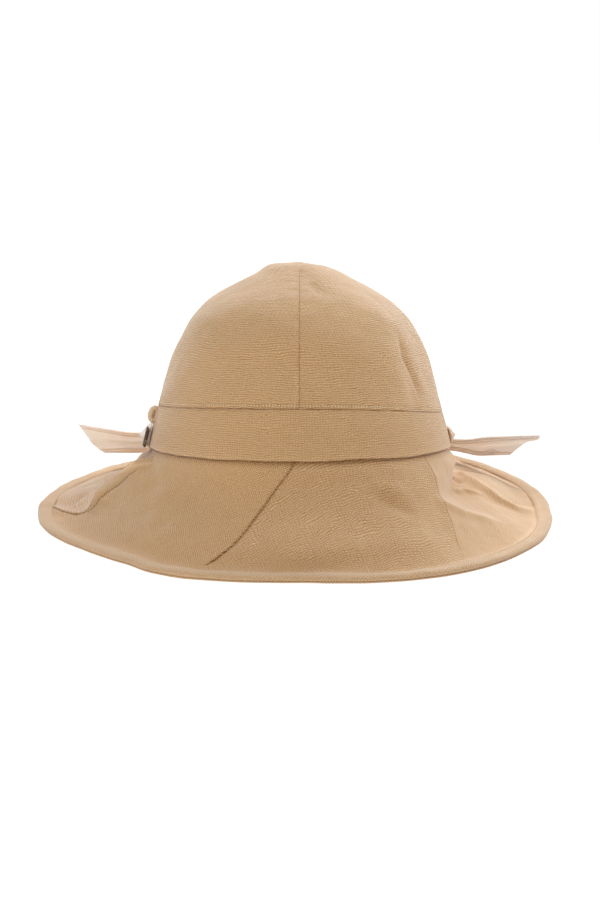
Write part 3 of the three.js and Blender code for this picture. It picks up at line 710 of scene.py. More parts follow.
# %% Cloths
WARM_HAZE = (1.0, 0.95, 0.88)
BRIM_WEAVE = (0.00134, 0.0017, 0.9, 0.42, 0.35)
FINE_WEAVE = (0.0011, 0.0012, 0.35, 0.3)
crown_linen = linen("crown_linen_cloth", (206, 164, 116), 0.00129, 0.0018, 1.05, 0.22, 0.3, haze=WARM_HAZE)
band_linen = linen("band_linen_cloth", (206, 164, 116), 0.00122, 0.0015, 0.9, 0.35, 0.45, haze=WARM_HAZE)
brim_linen = linen("brim_linen_cloth", (207, 165, 118), *BRIM_WEAVE, waviness=1.4, haze=WARM_HAZE)
back_linen = linen("back_linen_cloth", (206, 165, 120), *BRIM_WEAVE, waviness=1.4)
bias_linen = linen(
    "bias_linen_cloth", (210, 167, 118), 0.00106, 0.00112, 1.1, 0.75, 0.3, waviness=0.8, haze=(1, 0.93, 0.84)
)
worn_linen = linen(
    "worn_linen_cloth", (204, 163, 118), *BRIM_WEAVE, waviness=1.4, contrast=0.45, relief=0.1, haze=WARM_HAZE
)
tape_linen = linen("tape_linen_cloth", (212, 174, 132), 0.0012, 0.0012, 0.6, 0.6, haze=WARM_HAZE)
# a browner, darker copy of the ribbon's colour for its length on the right of the band: painted shade
tie_shade_linen = linen("tie_shade_cloth", (206, 166, 122), *FINE_WEAVE, contrast=0.6)
cord_linen = linen("cord_linen_cloth", (222, 193, 158), 0.0011, 0.0012, 0.3, 0.3, contrast=0.4, relief=0.3)
# fine old linen that lets some light through
SOFT = {"Subsurface Weight": 1.0, "Subsurface Radius": (1.0, 0.9, 0.8), "Subsurface Scale": 0.005}
RIBBON = dict(contrast=0.4, relief=0.3, tones=(0.44, 0.52, 0.62), extra=SOFT)
ribbon_linen = linen("ribbon_linen_cloth", (224, 209, 200), *FINE_WEAVE, **RIBBON)
# a greyer, darker copy of the ribbon's colour for the right tail: painted shade
ribbon_shaded = linen("ribbon_shaded_cloth", (202, 194, 191), *FINE_WEAVE, **RIBBON)
print("linens made")

# %% [markdown]
# ## Thread and metal
# The sewing thread round the crown and the rim is a shade lighter than the cloth and a little smoother; the
# one along the fold at the left is darker. The slide is a thin metal plate that has aged: brown and dull,
# with pale patches that are both rubbed wear and painted highlights standing for its glints.


# %% Thread and aged metal
def sewing_thread(name, colour):
    material, shader, wires = new_material(name)
    place = wires.new("ShaderNodeTexCoord", {}, "Object")
    speckle = wires.noise(place, 900.0)
    tone = wires.remap(speckle, 0.3, 0.7, 0.9, 1.08)
    look = {
        "Base Color": wires.mix(1.0, from_srgb(*colour), wires.combine(tone, tone, tone), "MULTIPLY"),
        "Normal": wires.bump(speckle, 0.3, 0.0002),
        "Roughness": 0.7,
        "Sheen Weight": 0.2,
    }
    wires.fill(shader, look)
    return material


def aged_metal(name):
    material, shader, wires = new_material(name)
    place = wires.new("ShaderNodeTexCoord", {}, "Object")
    # pale patches: rubbed wear, and painted highlights in place of the plate's glints
    rubbed_and_glints = wires.remap(wires.noise(place, 420.0, 4.0, 0.6), 0.58, 0.66, 0.0, 1.0)
    scratches = wires.noise(place, 1800.0)
    look = {
        "Base Color": wires.mix(rubbed_and_glints, from_srgb(92, 70, 48), from_srgb(214, 194, 160)),
        "Roughness": wires.remap(scratches, 0.3, 0.7, 0.6, 0.8),
        "Normal": wires.bump(scratches, 0.2, 0.0002),
        "Specular IOR Level": 0.08,
    }
    wires.fill(shader, look)
    return material


light_thread = sewing_thread("light_thread", (236, 212, 176))
dark_thread = sewing_thread("dark_thread", (150, 110, 70))
slide_metal = aged_metal("slide_aged_metal")
print("thread and metal made")

# %% Floor
FLOOR_HALF = 60.0
floor_material, floor_shader, floor_wires = new_material("pale_floor")
floor_look = {
    "Base Color": (0.12, 0.12, 0.12, 1),
    "Roughness": 0.9,
    "Specular IOR Level": 0.0,
    "Emission Color": (1, 1, 1, 1),
    "Emission Strength": 1.0,
}
floor_wires.fill(floor_shader, floor_look)
floor_mesh = bpy.data.meshes.new("floor")
floor_corners = [(x * FLOOR_HALF, y * FLOOR_HALF, 0) for x, y in ((-1, -1), (1, -1), (1, 1), (-1, 1))]
floor_mesh.from_pydata(floor_corners, [], [(0, 1, 2, 3)])
floor_mesh.materials.append(floor_material)
floor = put_in_scene("floor", floor_mesh)
print("floor laid")

# %% [markdown]
# ## Crown gores
# A gore is a tapered leaf of cloth. Six of them are sewn edge to edge and pressed, so each edge turns down
# into a narrow groove and the seam allowance behind it fills the cloth to a faint ridge. The stitches draw
# the cloth up in small puckers. All this is added to the crown's surface, gore by gore, on a grid that is
# finest at the seams, where the cloth turns most.

# %% Grid spacing and the crown's lie
# a seam's depth also sets the painted shade along its groove
SEAM_DEPTH = {0: 0.55, 60: 0.12, 120: 0.8, 180: 0.9, 240: 0.7, 300: 0.06}  # how hard each seam was pressed
GORE_TURN = 60
EDGE_ROLL = 0.9
SEAM_GAP = 0.03
CROWN_OVER_BAND = 0.12
CROWN_ROW = 14  # mm from the first row of the profile to the second
CROWN_STRETCH = 14.5  # mm of cloth for each row, for the length of the folds
CROWN_TIP = 8.985  # just short of the last row, so that the gores end round a point
TIP_FADE = 30  # half-width over which dents die away towards the tip


def edge_spacing(count, near, length):
    """Shares from 0 to 1 across a length in mm: fine steps of about near mm at both ends."""
    ends = near * np.array([0, 0.35, 0.75, 1.2, 1.7, 2.4, 3.4, 4.8]) / length
    middle = np.linspace(0, 1, count - 2 * len(ends) + 2)[1:-1]
    middle = ends[-1] + (1 - 2 * ends[-1]) * middle
    return np.concatenate([ends, middle, 1 - ends[::-1]])


def crown_edge(bearing):
    """Place of the crown's lower edge, just over the band."""
    return (band_height(bearing) + CROWN_OVER_BAND - CROWN_PROFILE[0][0]) / CROWN_ROW


def dent_lift(bearing, place):
    half_width, height = crown_outline(place)
    lift = np.zeros(np.shape(half_width))
    for at, level, out, spread_round, spread_up in CROWN_DENTS:
        aside = wrap(bearing - at) / spread_round
        above = (height - level) / spread_up
        lift = lift + out * np.exp(-(aside**2) - above**2)
    return lift * np.clip(half_width / TIP_FADE, 0, 1)


def pucker(distance, along, seed):
    """Small drawn-up waves that stitches leave beside a seam."""
    phases = np.random.default_rng(seed).uniform(0, 2 * math.pi, 3)
    sizes = ((9.3, 1.0), (13.1, 0.7), (6.1, 0.5))
    waves = 0
    for (pitch, tall), phase in zip(sizes, phases):
        waves = waves + tall * np.cos(along * 2 * math.pi / pitch + phase)
    return waves / 2.2 * hill(distance, 5.5)


crown_places = np.linspace(-0.2, CROWN_TIP, 400)
front_line = crown_base(np.zeros(400), crown_places)
crown_arc = walk(front_line)


def crown_up(place):
    """Length of cloth from the band to a place, along the middle of the front."""
    return np.interp(place, crown_places, crown_arc)


print(f"a gore is {crown_up(CROWN_TIP):.0f} mm tall")

# %% Crown folds
# each fold's fifth number is its painted light: painted shade in the long crease and the nicks, a painted
# highlight on the raised front seam
CROWN_FOLDS = [
    # the long crease left of the right seam
    Fold([(55, 3.6), (51, 3.06), (50.5, 2.5), (54, 1.76), (56, 1.22), (55, 0.46)], -1.3, 3.2, 2, -0.8),
    # two nicks by the tip
    Fold([(7.5, 6.4), (14.5, 5.4)], -0.45, 1.6, 1.6, -0.8),
    Fold([(11.5, 6.5), (18, 5.6)], -0.45, 1.6, 1.6, -0.8),
    # the front seam stands up by the band, between two hollows
    Fold([(-0.9, 0.7), (-0.9, 2.2)], 0.35, 0.8, 0.8, 0.5),
    Fold([(-6, 1.2), (-5.5, 3.4)], -0.5, 5, 3),
    Fold([(7.5, 1.4), (6.5, 3.4)], -0.5, 3, 5),
]


def crown_surface(bearing, place, seam_low, seam_high):
    """Point on the outside of the finished gore, the direction out of it, and its painted light and shade."""
    base = crown_base(bearing, place)
    out = away_from(crown_base, bearing, place, 1)
    reach = from_axis(base)
    half_width, height = crown_outline(place)
    lift = dent_lift(bearing, place)
    along = crown_up(place)
    near_tip = np.clip(half_width / 20, 0, 1)
    fade = smooth_step(0.4, 1.2, place) * near_tip
    lift = lift + 0.7 * fade * slack(base, 46, 11) + 0.16 * near_tip * slack(base, 15, 12)
    folded, crease = fold_lift(bearing, place, reach, CROWN_STRETCH, CROWN_FOLDS)
    lift = lift + folded
    roll = np.minimum(EDGE_ROLL, 0.12 * half_width + 0.05)
    for seam, side in ((seam_low, 0), (seam_high, 1)):
        distance = np.abs(wrap(bearing - seam)) * DEG * reach
        depth = SEAM_DEPTH[seam % TURN]
        lift = lift - depth * rolled_edge(distance, roll)
        ridge = smooth_step(9.5, 7.5, distance) * smooth_step(0, 3, distance) * np.clip(half_width / 25, 0, 1)
        lift = lift + 0.22 * depth * ridge
        waves = pucker(distance, along, int(seam % TURN) * 2 + side + 5)
        lift = lift + 0.2 * depth * waves * np.clip(half_width / TIP_FADE, 0, 1)
        # painted shade along the seam's groove
        crease = crease - 0.7 * depth * hill(distance, 0.8)
    # the lower edge turns in over the band, and its row of stitches lies in a ditch
    up = (place - crown_edge(bearing)) * CROWN_ROW
    ditch = hill(up - 2.2, 0.7)
    lift = lift - rolled_edge(np.clip(up, 0, None), EDGE_ROLL) - 0.28 * ditch
    # painted shade in the ditch of the stitches and along the crown's lower edge
    crease = crease - 0.8 * ditch - 1.5 * hill(up, 0.6)
    return base + out * lift[..., None], out, crease


print(len(CROWN_FOLDS), "folds in the crown")

# %% Crown pieces
GORE_COLUMNS = 78
GORE_ROWS = 118


def crown_gore(number, seam_low, seam_high):
    shares = edge_spacing(GORE_COLUMNS, 0.55, 80)
    steps = edge_spacing(GORE_ROWS, 0.5, 132)
    share, step = np.meshgrid(shares, steps)
    lowest = crown_edge(seam_low + (seam_high - seam_low) * share)
    place = lowest + (CROWN_TIP - lowest) * step
    half_width, _ = crown_outline(place)
    aside = np.minimum(SEAM_GAP, 0.15 * half_width) / half_width / DEG
    bearing = seam_low + aside + (seam_high - seam_low - 2 * aside) * share
    outer, out, crease = crown_surface(bearing, place, seam_low, seam_high)
    inner = outer - out * CLOTH
    across = (bearing - 0.5 * (seam_low + seam_high)) * DEG * from_axis(outer)
    sag = 0.0034 * smooth_step(1.0, 4.5, place) * across**2
    grain = stacked(across + 37.0 * number, crown_up(place) - sag)
    name = f"crown_gore_cloth_{number}"
    return cloth_wall(name, outer, inner, grain, crease, crown_linen, [f"crown_gore_{number}"])


for gore_number, gore_seam in enumerate(SEAM_DEPTH, 1):
    crown_gore(gore_number, gore_seam, gore_seam + GORE_TURN)

# %% [markdown]
# ## Seam tape inside the crown
# Inside the hat every seam of the crown is covered by a narrow tape. It is a flat strip that follows the
# inner side of the cloth, and it also keeps light from passing through the seam.

# %% Seam tape pieces
SEAM_TAPE_HALF_WIDTH = 4.5
SEAM_TAPE_CLOTH = 0.5
SEAM_TAPE_TOP = 8.75


def seam_tape(seam):
    places = np.linspace(float(crown_edge(seam)) + 0.15, SEAM_TAPE_TOP, 90)
    sideways = np.linspace(-SEAM_TAPE_HALF_WIDTH, SEAM_TAPE_HALF_WIDTH, 9)
    place, aside = np.meshgrid(places, sideways, indexing="ij")
    half_width, _ = crown_outline(place)
    bearing = seam + aside * np.clip(half_width / 22, 0, 1) / half_width / DEG
    out = away_from(crown_base, bearing, place, 1)
    depth = dent_lift(bearing, place) - CLOTH - 1.1
    outer = crown_base(bearing, place) + out * depth[..., None]
    inner = outer - out * SEAM_TAPE_CLOTH
    grain = stacked(aside, crown_up(place))
    plain = np.zeros_like(aside)
    return cloth_wall(f"seam_tape_{seam}", outer, inner, grain, plain, tape_linen)


for gore_seam in SEAM_DEPTH:
    seam_tape(gore_seam)

# %% [markdown]
# ## Band
# The band is a plain ring of folded cloth. Its upper edge is sewn under the crown's edge, which sinks over
# it at the sides, so the two meet in a small notch. Its lower edge is a fold that is left free: it lies
# close to the brim, with a thin line of shadow under it, partly cast and partly painted. A painted highlight
# runs along that fold and painted shade along the top edge. A closed section, rounded at both folds, is
# carried round the head.

# %% Band piece
BAND_STEPS = 720
BAND_REACH = 92  # mm round the head for each radian, for the threads


def band_section():
    """Rows of (height in mm, share of the band's height to add, inwards in mm) round the section."""
    radius = 0.5 * BAND_CLOTH
    quarter = np.linspace(0, math.pi / 2, 7)
    low = [(radius * (1 - math.cos(turn)), 0, radius * (1 - math.sin(turn))) for turn in quarter]
    high = [(radius * (math.sin(turn) - 1), 1, radius * (1 - math.cos(turn))) for turn in quarter]
    wall = [(radius * (1 - 2 * share), share, 0) for share in np.linspace(0, 1, 18)[1:-1]]
    back = high[5::-1] + wall[::-3] + low[::-1]
    behind = [(height, share, BAND_CLOTH - inwards) for height, share, inwards in back]
    return np.array(low + wall + high + behind)


band_rows = band_section()
band_bearings = np.linspace(0, TURN, BAND_STEPS + 1)[:, None]
band_tops = band_height(band_bearings)
band_heights = band_rows[:, 0] + band_rows[:, 1] * band_tops
band_inwards = band_rows[:, 2] + 0 * band_heights
ring = band_bearings + 0 * band_heights
swell = slack(on_bearing(ring, 85, band_heights), 38, 21)
wobble = slack(on_bearing(ring, 85, 0 * ring), 26, 22)
flare = 0.2 * smooth_step(7, 0, band_heights)
band_out = band_half_width(ring, np.clip(band_heights, 0, None)) - band_inwards + 0.28 * swell + flare
lowered = band_heights + 0.35 * wobble * smooth_step(6, 0, band_heights)
outside = (band_inwards < 0.5 * BAND_CLOTH).astype(float)
# painted light on the band: a painted highlight on the lower fold, painted shade at the top edge under the
# crown and under the lower fold
fold_painted_highlight = 0.6 * hill(band_heights - 1.2, 0.9) * outside
top_painted_shade = -0.8 * hill(band_heights - band_tops, 0.8) * outside
under_fold_painted_shade = -1.7 * smooth_step(0.75, 0.1, band_heights)
band_painted_light = fold_painted_highlight + top_painted_shade + under_fold_painted_shade
band_grain = stacked(ring * DEG * BAND_REACH, np.where(outside > 0, band_heights, -band_heights - 60))
band_loops = on_head(ring, band_out, lowered)
closed_tube("band_cloth", band_loops, band_grain, band_painted_light, band_linen, ["band"], ring=True)

# %% [markdown]
# ## Brim seams
# The brim's six panels meet in seams that slant as they run to the rim. At most of them one panel laps over
# the next and its edge shows as a crisp step. Each seam is a short table of bearings along the profile,
# with the side that lies on top, the height of its step at the band and at the rim, and the painted shade
# of its groove, which also sets how far its edge rolls down.

# %% Brim seam tables
# A path of (place, bearing), the side on top, the steps, the groove's painted shade (below 0 a painted
# highlight), where the step turns from one height to the other, where the groove and its painted shade
# start, and where the step fades out.
BrimSeam = namedtuple(
    "BrimSeam", "path top step dark turns_at dark_from ends", defaults=((0.3, 0.7), -0.2, 1.1)
)
BRIM_SEAMS = [
    BrimSeam(
        [(-0.06, -68), (0.05, -69), (0.12, -70.5), (0.2, -73), (0.3, -76.5), (0.4, -78.6), (0.5, -78.6),
         (0.6, -77.3), (0.7, -76.2), (0.76, -77), (0.83, -81), (0.92, -86.5), (1, -89)],
        -1, (0.2, 1.0), 0.7, turns_at=(0.68, 0.78), dark_from=0.7,
    ),
    BrimSeam(
        [(-0.06, 0.5), (0.01, -1.5), (0.16, -6), (0.24, -8.4), (0.37, -11.5), (0.5, -14.3), (0.62, -16.8),
         (0.74, -19.6), (0.8, -21), (1, -26)],
        -1, (1.0, 1.0), 1.9, ends=0.84,
    ),
    BrimSeam(
        [(-0.06, 50.5), (0.07, 51), (0.2, 50.4), (0.33, 48.4), (0.5, 46.2), (0.6, 44), (0.73, 40.7), (1, 35)],
        1, (0.3, 0.2), -0.15, ends=0.8,
    ),
    BrimSeam([(-0.06, 118), (0.3, 115), (0.5, 112.5), (0.7, 106), (0.86, 104), (1, 99)], 1, (0.2, 0.2), 0.02),
    BrimSeam([(-0.06, 178), (0.5, 170), (1, 162)], -1, (0.6, 0.7), 0.8),
    BrimSeam([(-0.06, 234), (0.5, 226), (1, 218)], -1, (0.6, 0.7), 0.8),
]
BRIM_LENGTH = 75.0  # mm of cloth from the headline to the rim


def seam_bearing(seam, place):
    return curve_value(seam.path, place)


for seam in BRIM_SEAMS:
    print("seam from", float(seam_bearing(seam, 0.0).round(1)), "to", float(seam_bearing(seam, 1.0).round(1)))

# %% [markdown]
# ## Brim folds
# The brim has been pushed down by wear. On the left a tall ridge stands along the seam, with a sharp back
# and a long front, and a fold is sewn beside it. On the right three narrower ridges run down from the band.
# Softer rolls fill the rest. Many folds also carry painted light: painted highlights on crests, painted
# shade in hollows and corners. Two lines have a tone and almost no height: a pale painted light along the
# binding, which lifts the shade of the groove there, and a broad lighter tone down the front.

# %% Fold tables
SEWN_FOLD = [
    (-67.5, 0.19), (-71, 0.27), (-73, 0.36), (-73.8, 0.44), (-73.8, 0.55), (-74.6, 0.65), (-75.5, 0.72)
]
BRIM_FOLDS = [
    # the tall ridge at the left and a line on its crest, both with a painted highlight, the fold sewn beside
    # it in painted shade, and its edge with a painted highlight
    Fold([(-68, 0.03), (-70, 0.1), (-72.5, 0.19), (-76, 0.27), (-79, 0.38), (-79, 0.47), (-78.5, 0.54),
         (-77.5, 0.6), (-77, 0.66), (-76.5, 0.73)], 6.8, 5, 16, 1, 1.4, fade_in=0.2, fade_out=0.2,
         power=1.6),
    Fold([(-70.5, 0.14), (-74, 0.22), (-77.5, 0.3)], 0.6, 2.5, 3.5, 1.6, 3),
    Fold(SEWN_FOLD, -0.7, 1, 2.6, -1.3, 0.6, fade_in=0.1, fade_out=0.12),
    Fold([(-64, 0.06), (-66, 0.12), (-68.5, 0.18), (-74, 0.25), (-78.5, 0.36), (-80, 0.47), (-80.5, 0.56)],
         0.5, 1.8, 1.8, 1.5, 1.5, fade_in=0.12, fade_out=0.2),
    # a painted highlight on the patch behind the ridge, a faint one on the ridge's front, and painted shadow
    # in the corner by the band
    Fold([(-111, 0.57), (-103, 0.68), (-96, 0.73)], 0.5, 6, 6, 2, 6, fade_in=0.15, fade_out=0.15),
    Fold([(-74.5, 0.24), (-77, 0.36), (-77.4, 0.46), (-77, 0.56), (-75.5, 0.65)], 0.2, 2.5, 2.5, 0.5, 2.6),
    Fold([(-92, 0.04), (-93, 0.12), (-93, 0.2)], -1.5, 6, 5, -1.4, 6),
    Fold([(-79, -0.02), (-81, 0.06), (-83, 0.12), (-86, 0.2)], -0.6, 4.5, 4.5, -2.6, 9, fade_in=0.02),
    # the ridge's foot at the rim, and the left side's outer rolls, with painted highlights on their crests
    # and painted shade in a hollow
    Fold([(-76.5, 0.77), (-80, 0.82), (-86, 0.91), (-89, 0.98)], 1, 4, 2.5, 0.9, 1.5),
    Fold([(-94, 0.71), (-89, 0.76), (-84, 0.8)], -1.5, 3.6, 3.6, -0.6, 3),
    Fold([(-92, 0.68), (-87, 0.72), (-82, 0.76)], 0.8, 2, 2, 0.8),
    Fold([(-113, 0.64), (-108, 0.73), (-103, 0.8)], 1.6, 9, 8, 2, 8),
    Fold([(-104, 0.84), (-97, 0.86), (-91, 0.92)], 0.3, 8, 8, 0.6, 11),
    # the three ridges of the right side with painted highlights on their crests, and painted shade in the
    # hollow behind them
    Fold([(101, 0.41), (95, 0.5), (88, 0.58), (84, 0.63), (80.5, 0.7), (80.3, 0.77), (83, 0.83), (89, 0.95)],
         3.2, 3.6, 3.2, 1.5, fade_in=0.12, fade_out=0.35, power=1.7),
    Fold([(72, 0.4), (78, 0.47), (79.3, 0.55), (80.5, 0.62)], 1.8, 2.8, 2.4, 1.4),
    Fold([(45.5, 0.31), (49, 0.43), (54, 0.54), (60.5, 0.66), (66, 0.74)], 2.1, 4, 3.2, 1.2, power=1.7),
    Fold([(89, 0.38), (88, 0.44), (87, 0.5)], -1.4, 3.5, 3.5, -1, 2, fade_in=0.05, fade_out=0.4),
    # a pale line along the binding: painted light that lifts the shade in the groove at the binding's edge
    Fold([(-70, 0.9), (-40, 0.9), (-10, 0.9), (20, 0.9), (50, 0.9), (80, 0.9), (112, 0.905)], 0, 1.5, 1.5,
         1.2, 1.6, fade_in=0.1, fade_out=0.05),
    # the soft folds of the front, one valley with painted shade; one of them has no height and is only a
    # broad lighter tone
    Fold([(50, 0.02), (50.5, 0.23), (47, 0.37), (46, 0.51), (43.5, 0.6), (40.5, 0.75)], 0.6, 3.5, 4,
         fade_in=0.1),
    Fold([(22, 0.21), (26, 0.28), (31, 0.37), (37, 0.47)], -1.4, 5, 5, -0.6, 3.5),
    Fold([(20.5, 0.1), (26, 0.17), (31, 0.23), (36.5, 0.31)], 1.1, 5, 4, 0.2),
    Fold([(46, 0.06), (43, 0.3), (38, 0.55), (32, 0.82)], 0, 1, 1, 0.3, 15, fade_in=0.1, fade_out=0.15),
    Fold([(8, 0.51), (12, 0.59), (17, 0.66)], 0.9, 8, 7),
    Fold([(-62, 0.23), (-47.5, 0.27), (-34, 0.33), (-25, 0.4)], -1.1, 9, 9),
    # the back's rolls
    Fold([(134, 0.25), (130, 0.55), (128, 0.84)], 2.2, 11, 12),
    Fold([(-138, 0.25), (-141, 0.55), (-144, 0.84)], 2.2, 12, 11),
    Fold([(-163, 0.3), (-167, 0.7)], 1.2, 9, 7),
    Fold([(150, 0.3), (147, 0.7)], -1.2, 9, 8),
]
print(len(BRIM_FOLDS), "folds in the brim")

# %% [markdown]
# ## The finished brim
# The folds, the slack and the seams' laps are added to the brim's base in one function, which every panel
# and every row of stitches then reads. On the side that lies on top a seam rises and rolls over its edge;
# the other side drops under it.

# %% Brim surface
LAP_ROLL = 0.95
LAP_REACH = 7.0  # how far a lap's rise spreads into the panel


def brim_surface(bearing, place):
    """Point on the outside of the brim, the direction out of it, and its painted light and shade."""
    base = brim_base(bearing, place)
    up = away_from(brim_base, bearing, place, -1)
    reach = from_axis(base)
    free = smooth_step(0.01, 0.1, place) * smooth_step(1.0, 0.86, place)
    lift, crease = fold_lift(bearing, place, reach, BRIM_LENGTH, BRIM_FOLDS)
    lift = lift + 0.75 * slack(base, 52, 31) + 0.22 * slack(base, 19, 32) + 0.06 * slack(base, 7, 33)
    lift = lift * free
    # painted shadow on the brim just under the band's lower edge
    crease = crease - 1.4 * smooth_step(0.06, 0.0, place)
    lift = lift + 0.09 * slack(base, 30, 34) * smooth_step(0.8, 1.0, place)
    for number, seam in enumerate(BRIM_SEAMS):
        aside = wrap(bearing - seam_bearing(seam, place)) * DEG * reach
        on_top = aside * seam.top > 0
        distance = np.abs(aside)
        to_end = smooth_step(seam.ends, seam.ends - 0.05, place)
        from_start = smooth_step(seam.dark_from - 0.05, seam.dark_from + 0.05, place)
        at_band, at_rim = seam.step
        step = (at_band + (at_rim - at_band) * smooth_step(*seam.turns_at, place)) * to_end
        rise = hill(distance, LAP_REACH) * smooth_step(0.0, 0.06, place)
        lift = lift + np.where(on_top, 0.6 * step, -0.4 * step) * rise
        rolled = rolled_edge(distance, LAP_ROLL) * min(1, abs(seam.dark) + 0.1) * to_end * from_start
        lift = lift - np.where(on_top, rolled, 0.35 * rolled) * smooth_step(-0.06, 0.03, place)
        lift = lift + 0.16 * pucker(distance, place * BRIM_LENGTH, 60 + number) * free
        # painted shade along the seam's groove, a little less on the side on top; below 0 a painted highlight
        painted_groove_shade = seam.dark * np.where(on_top, 0.8, 1.0) * hill(distance, 0.9)
        crease = crease - painted_groove_shade * to_end * from_start
    return base + up * lift[..., None], up, crease


front_shoulder = brim_surface(np.array([0.0]), np.array([0.18]))[0][0]
print("front shoulder at", front_shoulder.round(1), "mm from the axis")

# %% [markdown]
# ## Brim panels
# Every panel is a grid between two seams, closest at the seams and at the band. The cloth's own coordinates
# are those of a flat pattern cut from a ring, so that the threads curve gently with the panel. The front
# left panel was cut on the bias, at 45 degrees, and shows diagonal threads.

# %% Brim panel pieces
PANEL_COLUMNS = 132
PANEL_ROWS = 118
PANEL_TOP_ROWS = np.array([-0.06, -0.04, -0.02, -0.008, 0.0, 0.008, 0.016, 0.024, 0.034, 0.044])
PATTERN_CURVE = 0.8
PATTERN_RADIUS = 111.0
PANEL_CUTS = [  # how far the threads are turned, and the cloth
    (45, bias_linen), (4, brim_linen), (12, worn_linen), (-5, worn_linen), (0, back_linen), (6, back_linen)
]


def brim_panel(number, seam_low, seam_high, turn, cloth):
    shares = edge_spacing(PANEL_COLUMNS, 0.55, 130)
    rows = np.concatenate([PANEL_TOP_ROWS, np.linspace(0.054, 1.0, PANEL_ROWS - len(PANEL_TOP_ROWS))])
    share, place = np.meshgrid(shares, rows)
    start = seam_bearing(seam_low, place)
    end = start + np.mod(seam_bearing(seam_high, place) - start, TURN)
    aside = SEAM_GAP / from_axis(brim_base(0.5 * (start + end), place)) / DEG
    bearing = start + aside + (end - start - 2 * aside) * share
    outer, up, crease = brim_surface(bearing, place)
    inner = outer - up * CLOTH
    straight = wrap(bearing - 0.5 * (start + end)[:1, :1]) * DEG * PATTERN_CURVE
    radius = PATTERN_RADIUS + (place + 0.06) * BRIM_LENGTH
    flat_x = radius * np.sin(straight)
    flat_y = radius * np.cos(straight) - PATTERN_RADIUS
    cosine = math.cos(turn * DEG)
    sine = math.sin(turn * DEG)
    grain = stacked(flat_x * cosine - flat_y * sine + 53.0 * number, flat_x * sine + flat_y * cosine)
    name = f"brim_panel_cloth_{number}"
    return cloth_wall(name, outer, inner, grain, crease, cloth, [f"brim_panel_{number}"])


for panel_number, (panel_turn, panel_cloth) in enumerate(PANEL_CUTS, 1):
    low_seam = BRIM_SEAMS[panel_number - 1]
    high_seam = BRIM_SEAMS[panel_number % len(BRIM_SEAMS)]
    brim_panel(panel_number, low_seam, high_seam, panel_turn, panel_cloth)

# %% [markdown]
# ## Rim binding
# A strip of linen, cut on the slant so that it stretches round the curve, is folded over the raw edge of
# the brim and stitched down. It is a C in section: a flat underside that the hat stands on, a rounded outer
# fold and a top that ends in a turned-in edge. Cloth that is folded by hand never keeps one width, so the
# top's width wanders by half a millimetre. Painted shade darkens its inner half where it dips, at the right
# of the back, and a groove low on the outer fold; a little painted light lifts the inner half at the right.

# %% Rim binding piece
RIM_STEPS = 720
RIM_RADIUS = 150
BINDING_TOP = 4.1
BINDING_REACH = 151  # mm round the rim for each radian, for the threads
GROOVE_ROW = 9
INNER_ROWS = (17.4, 20, 27)  # the top's inner half starts between the first two and ends at the third
BINDING_ROWS = [  # share of the width, inwards in mm, up in mm; from the inner edge below
    (1, 0, 0.0), (0.75, 0, 0.0), (0.5, 0, 0.0), (0, 2.2, 0.0), (0, 1.2, 0.06), (0, 0.6, 0.3), (0, 0.3, 0.65),
    (0, 0.32, 1.0), (0, 0.75, 1.2), (0, 0.9, 1.35), (0, 0.7, 1.5), (0, 0.2, 1.75), (0, 0.0, 2.2),
    (0, 0.1, 2.7), (0, 0.42, 3.2), (0, 0.95, 3.62), (0, 1.7, 3.92), (0, 2.8, 4.1), (0, 4.2, 4.12),
    (0.62, 0, 3.98), (0.78, 0, 3.74), (0.9, 0, 3.48), (0.96, 0, 3.32), (0.99, 0, 3.18), (1, 0, 3.02),
    (0.985, 0, 2.9), (0.75, 0, 3.0), (0.5, 0, 3.05), (0, 2.4, 3.05), (0, 1.5, 2.7), (0, 1.15, 2.0),
    (0, 1.5, 1.2), (0, 2.4, 1.0), (0.5, 0, 1.0), (0.75, 0, 1.0), (1, 0, 1.0), (1, 0, 0.0),
]


def rim_slack(bearing, wavelength, seed):
    return slack(on_bearing(bearing, RIM_RADIUS, 0 * bearing), wavelength, seed)


def binding_width(bearing):
    return TAPE_WIDTH - 0.2 + 0.4 * rim_slack(bearing, 44, 41)


share_in, mm_in, binding_up = np.array(BINDING_ROWS).T
rim_bearings = np.linspace(0, TURN, RIM_STEPS + 1)
rim_ring = np.broadcast_to(rim_bearings[:, None], (RIM_STEPS + 1, len(BINDING_ROWS)))
inwards = share_in * binding_width(rim_ring) + mm_in
rim_out = around_hat(RIM_REACH, 1, rim_ring) - inwards + 0.35 * rim_slack(rim_ring, 24, 42) * (1 - share_in)
seam_bump = np.zeros_like(rim_ring)
for seam in BRIM_SEAMS:
    off_seam = wrap(rim_ring - seam_bearing(seam, 0.95)) * seam.top
    seam_bump = seam_bump + 0.5 * seam.step[1] * hill(off_seam - 1.5, 3)
rise = (0.18 * rim_slack(rim_ring, 17, 43) + seam_bump) * smooth_step(1.0, 3.0, binding_up)
section_walk = walk(stacked(share_in * TAPE_WIDTH + mm_in, binding_up))
slant_round = rim_ring * DEG * BINDING_REACH * 0.7
slant_over = section_walk * 0.7
rim_grain = stacked(slant_round + slant_over, slant_over - slant_round)
row_number = np.arange(len(BINDING_ROWS))
inner_half = 1.3 * smooth_step(INNER_ROWS[0], INNER_ROWS[1], row_number) * (row_number < INNER_ROWS[2])
painted_shade_round = np.exp(-((wrap(rim_ring - 130) / 25) ** 4)) - 0.5 * np.exp(-((wrap(rim_ring - 82) / 22) ** 4))
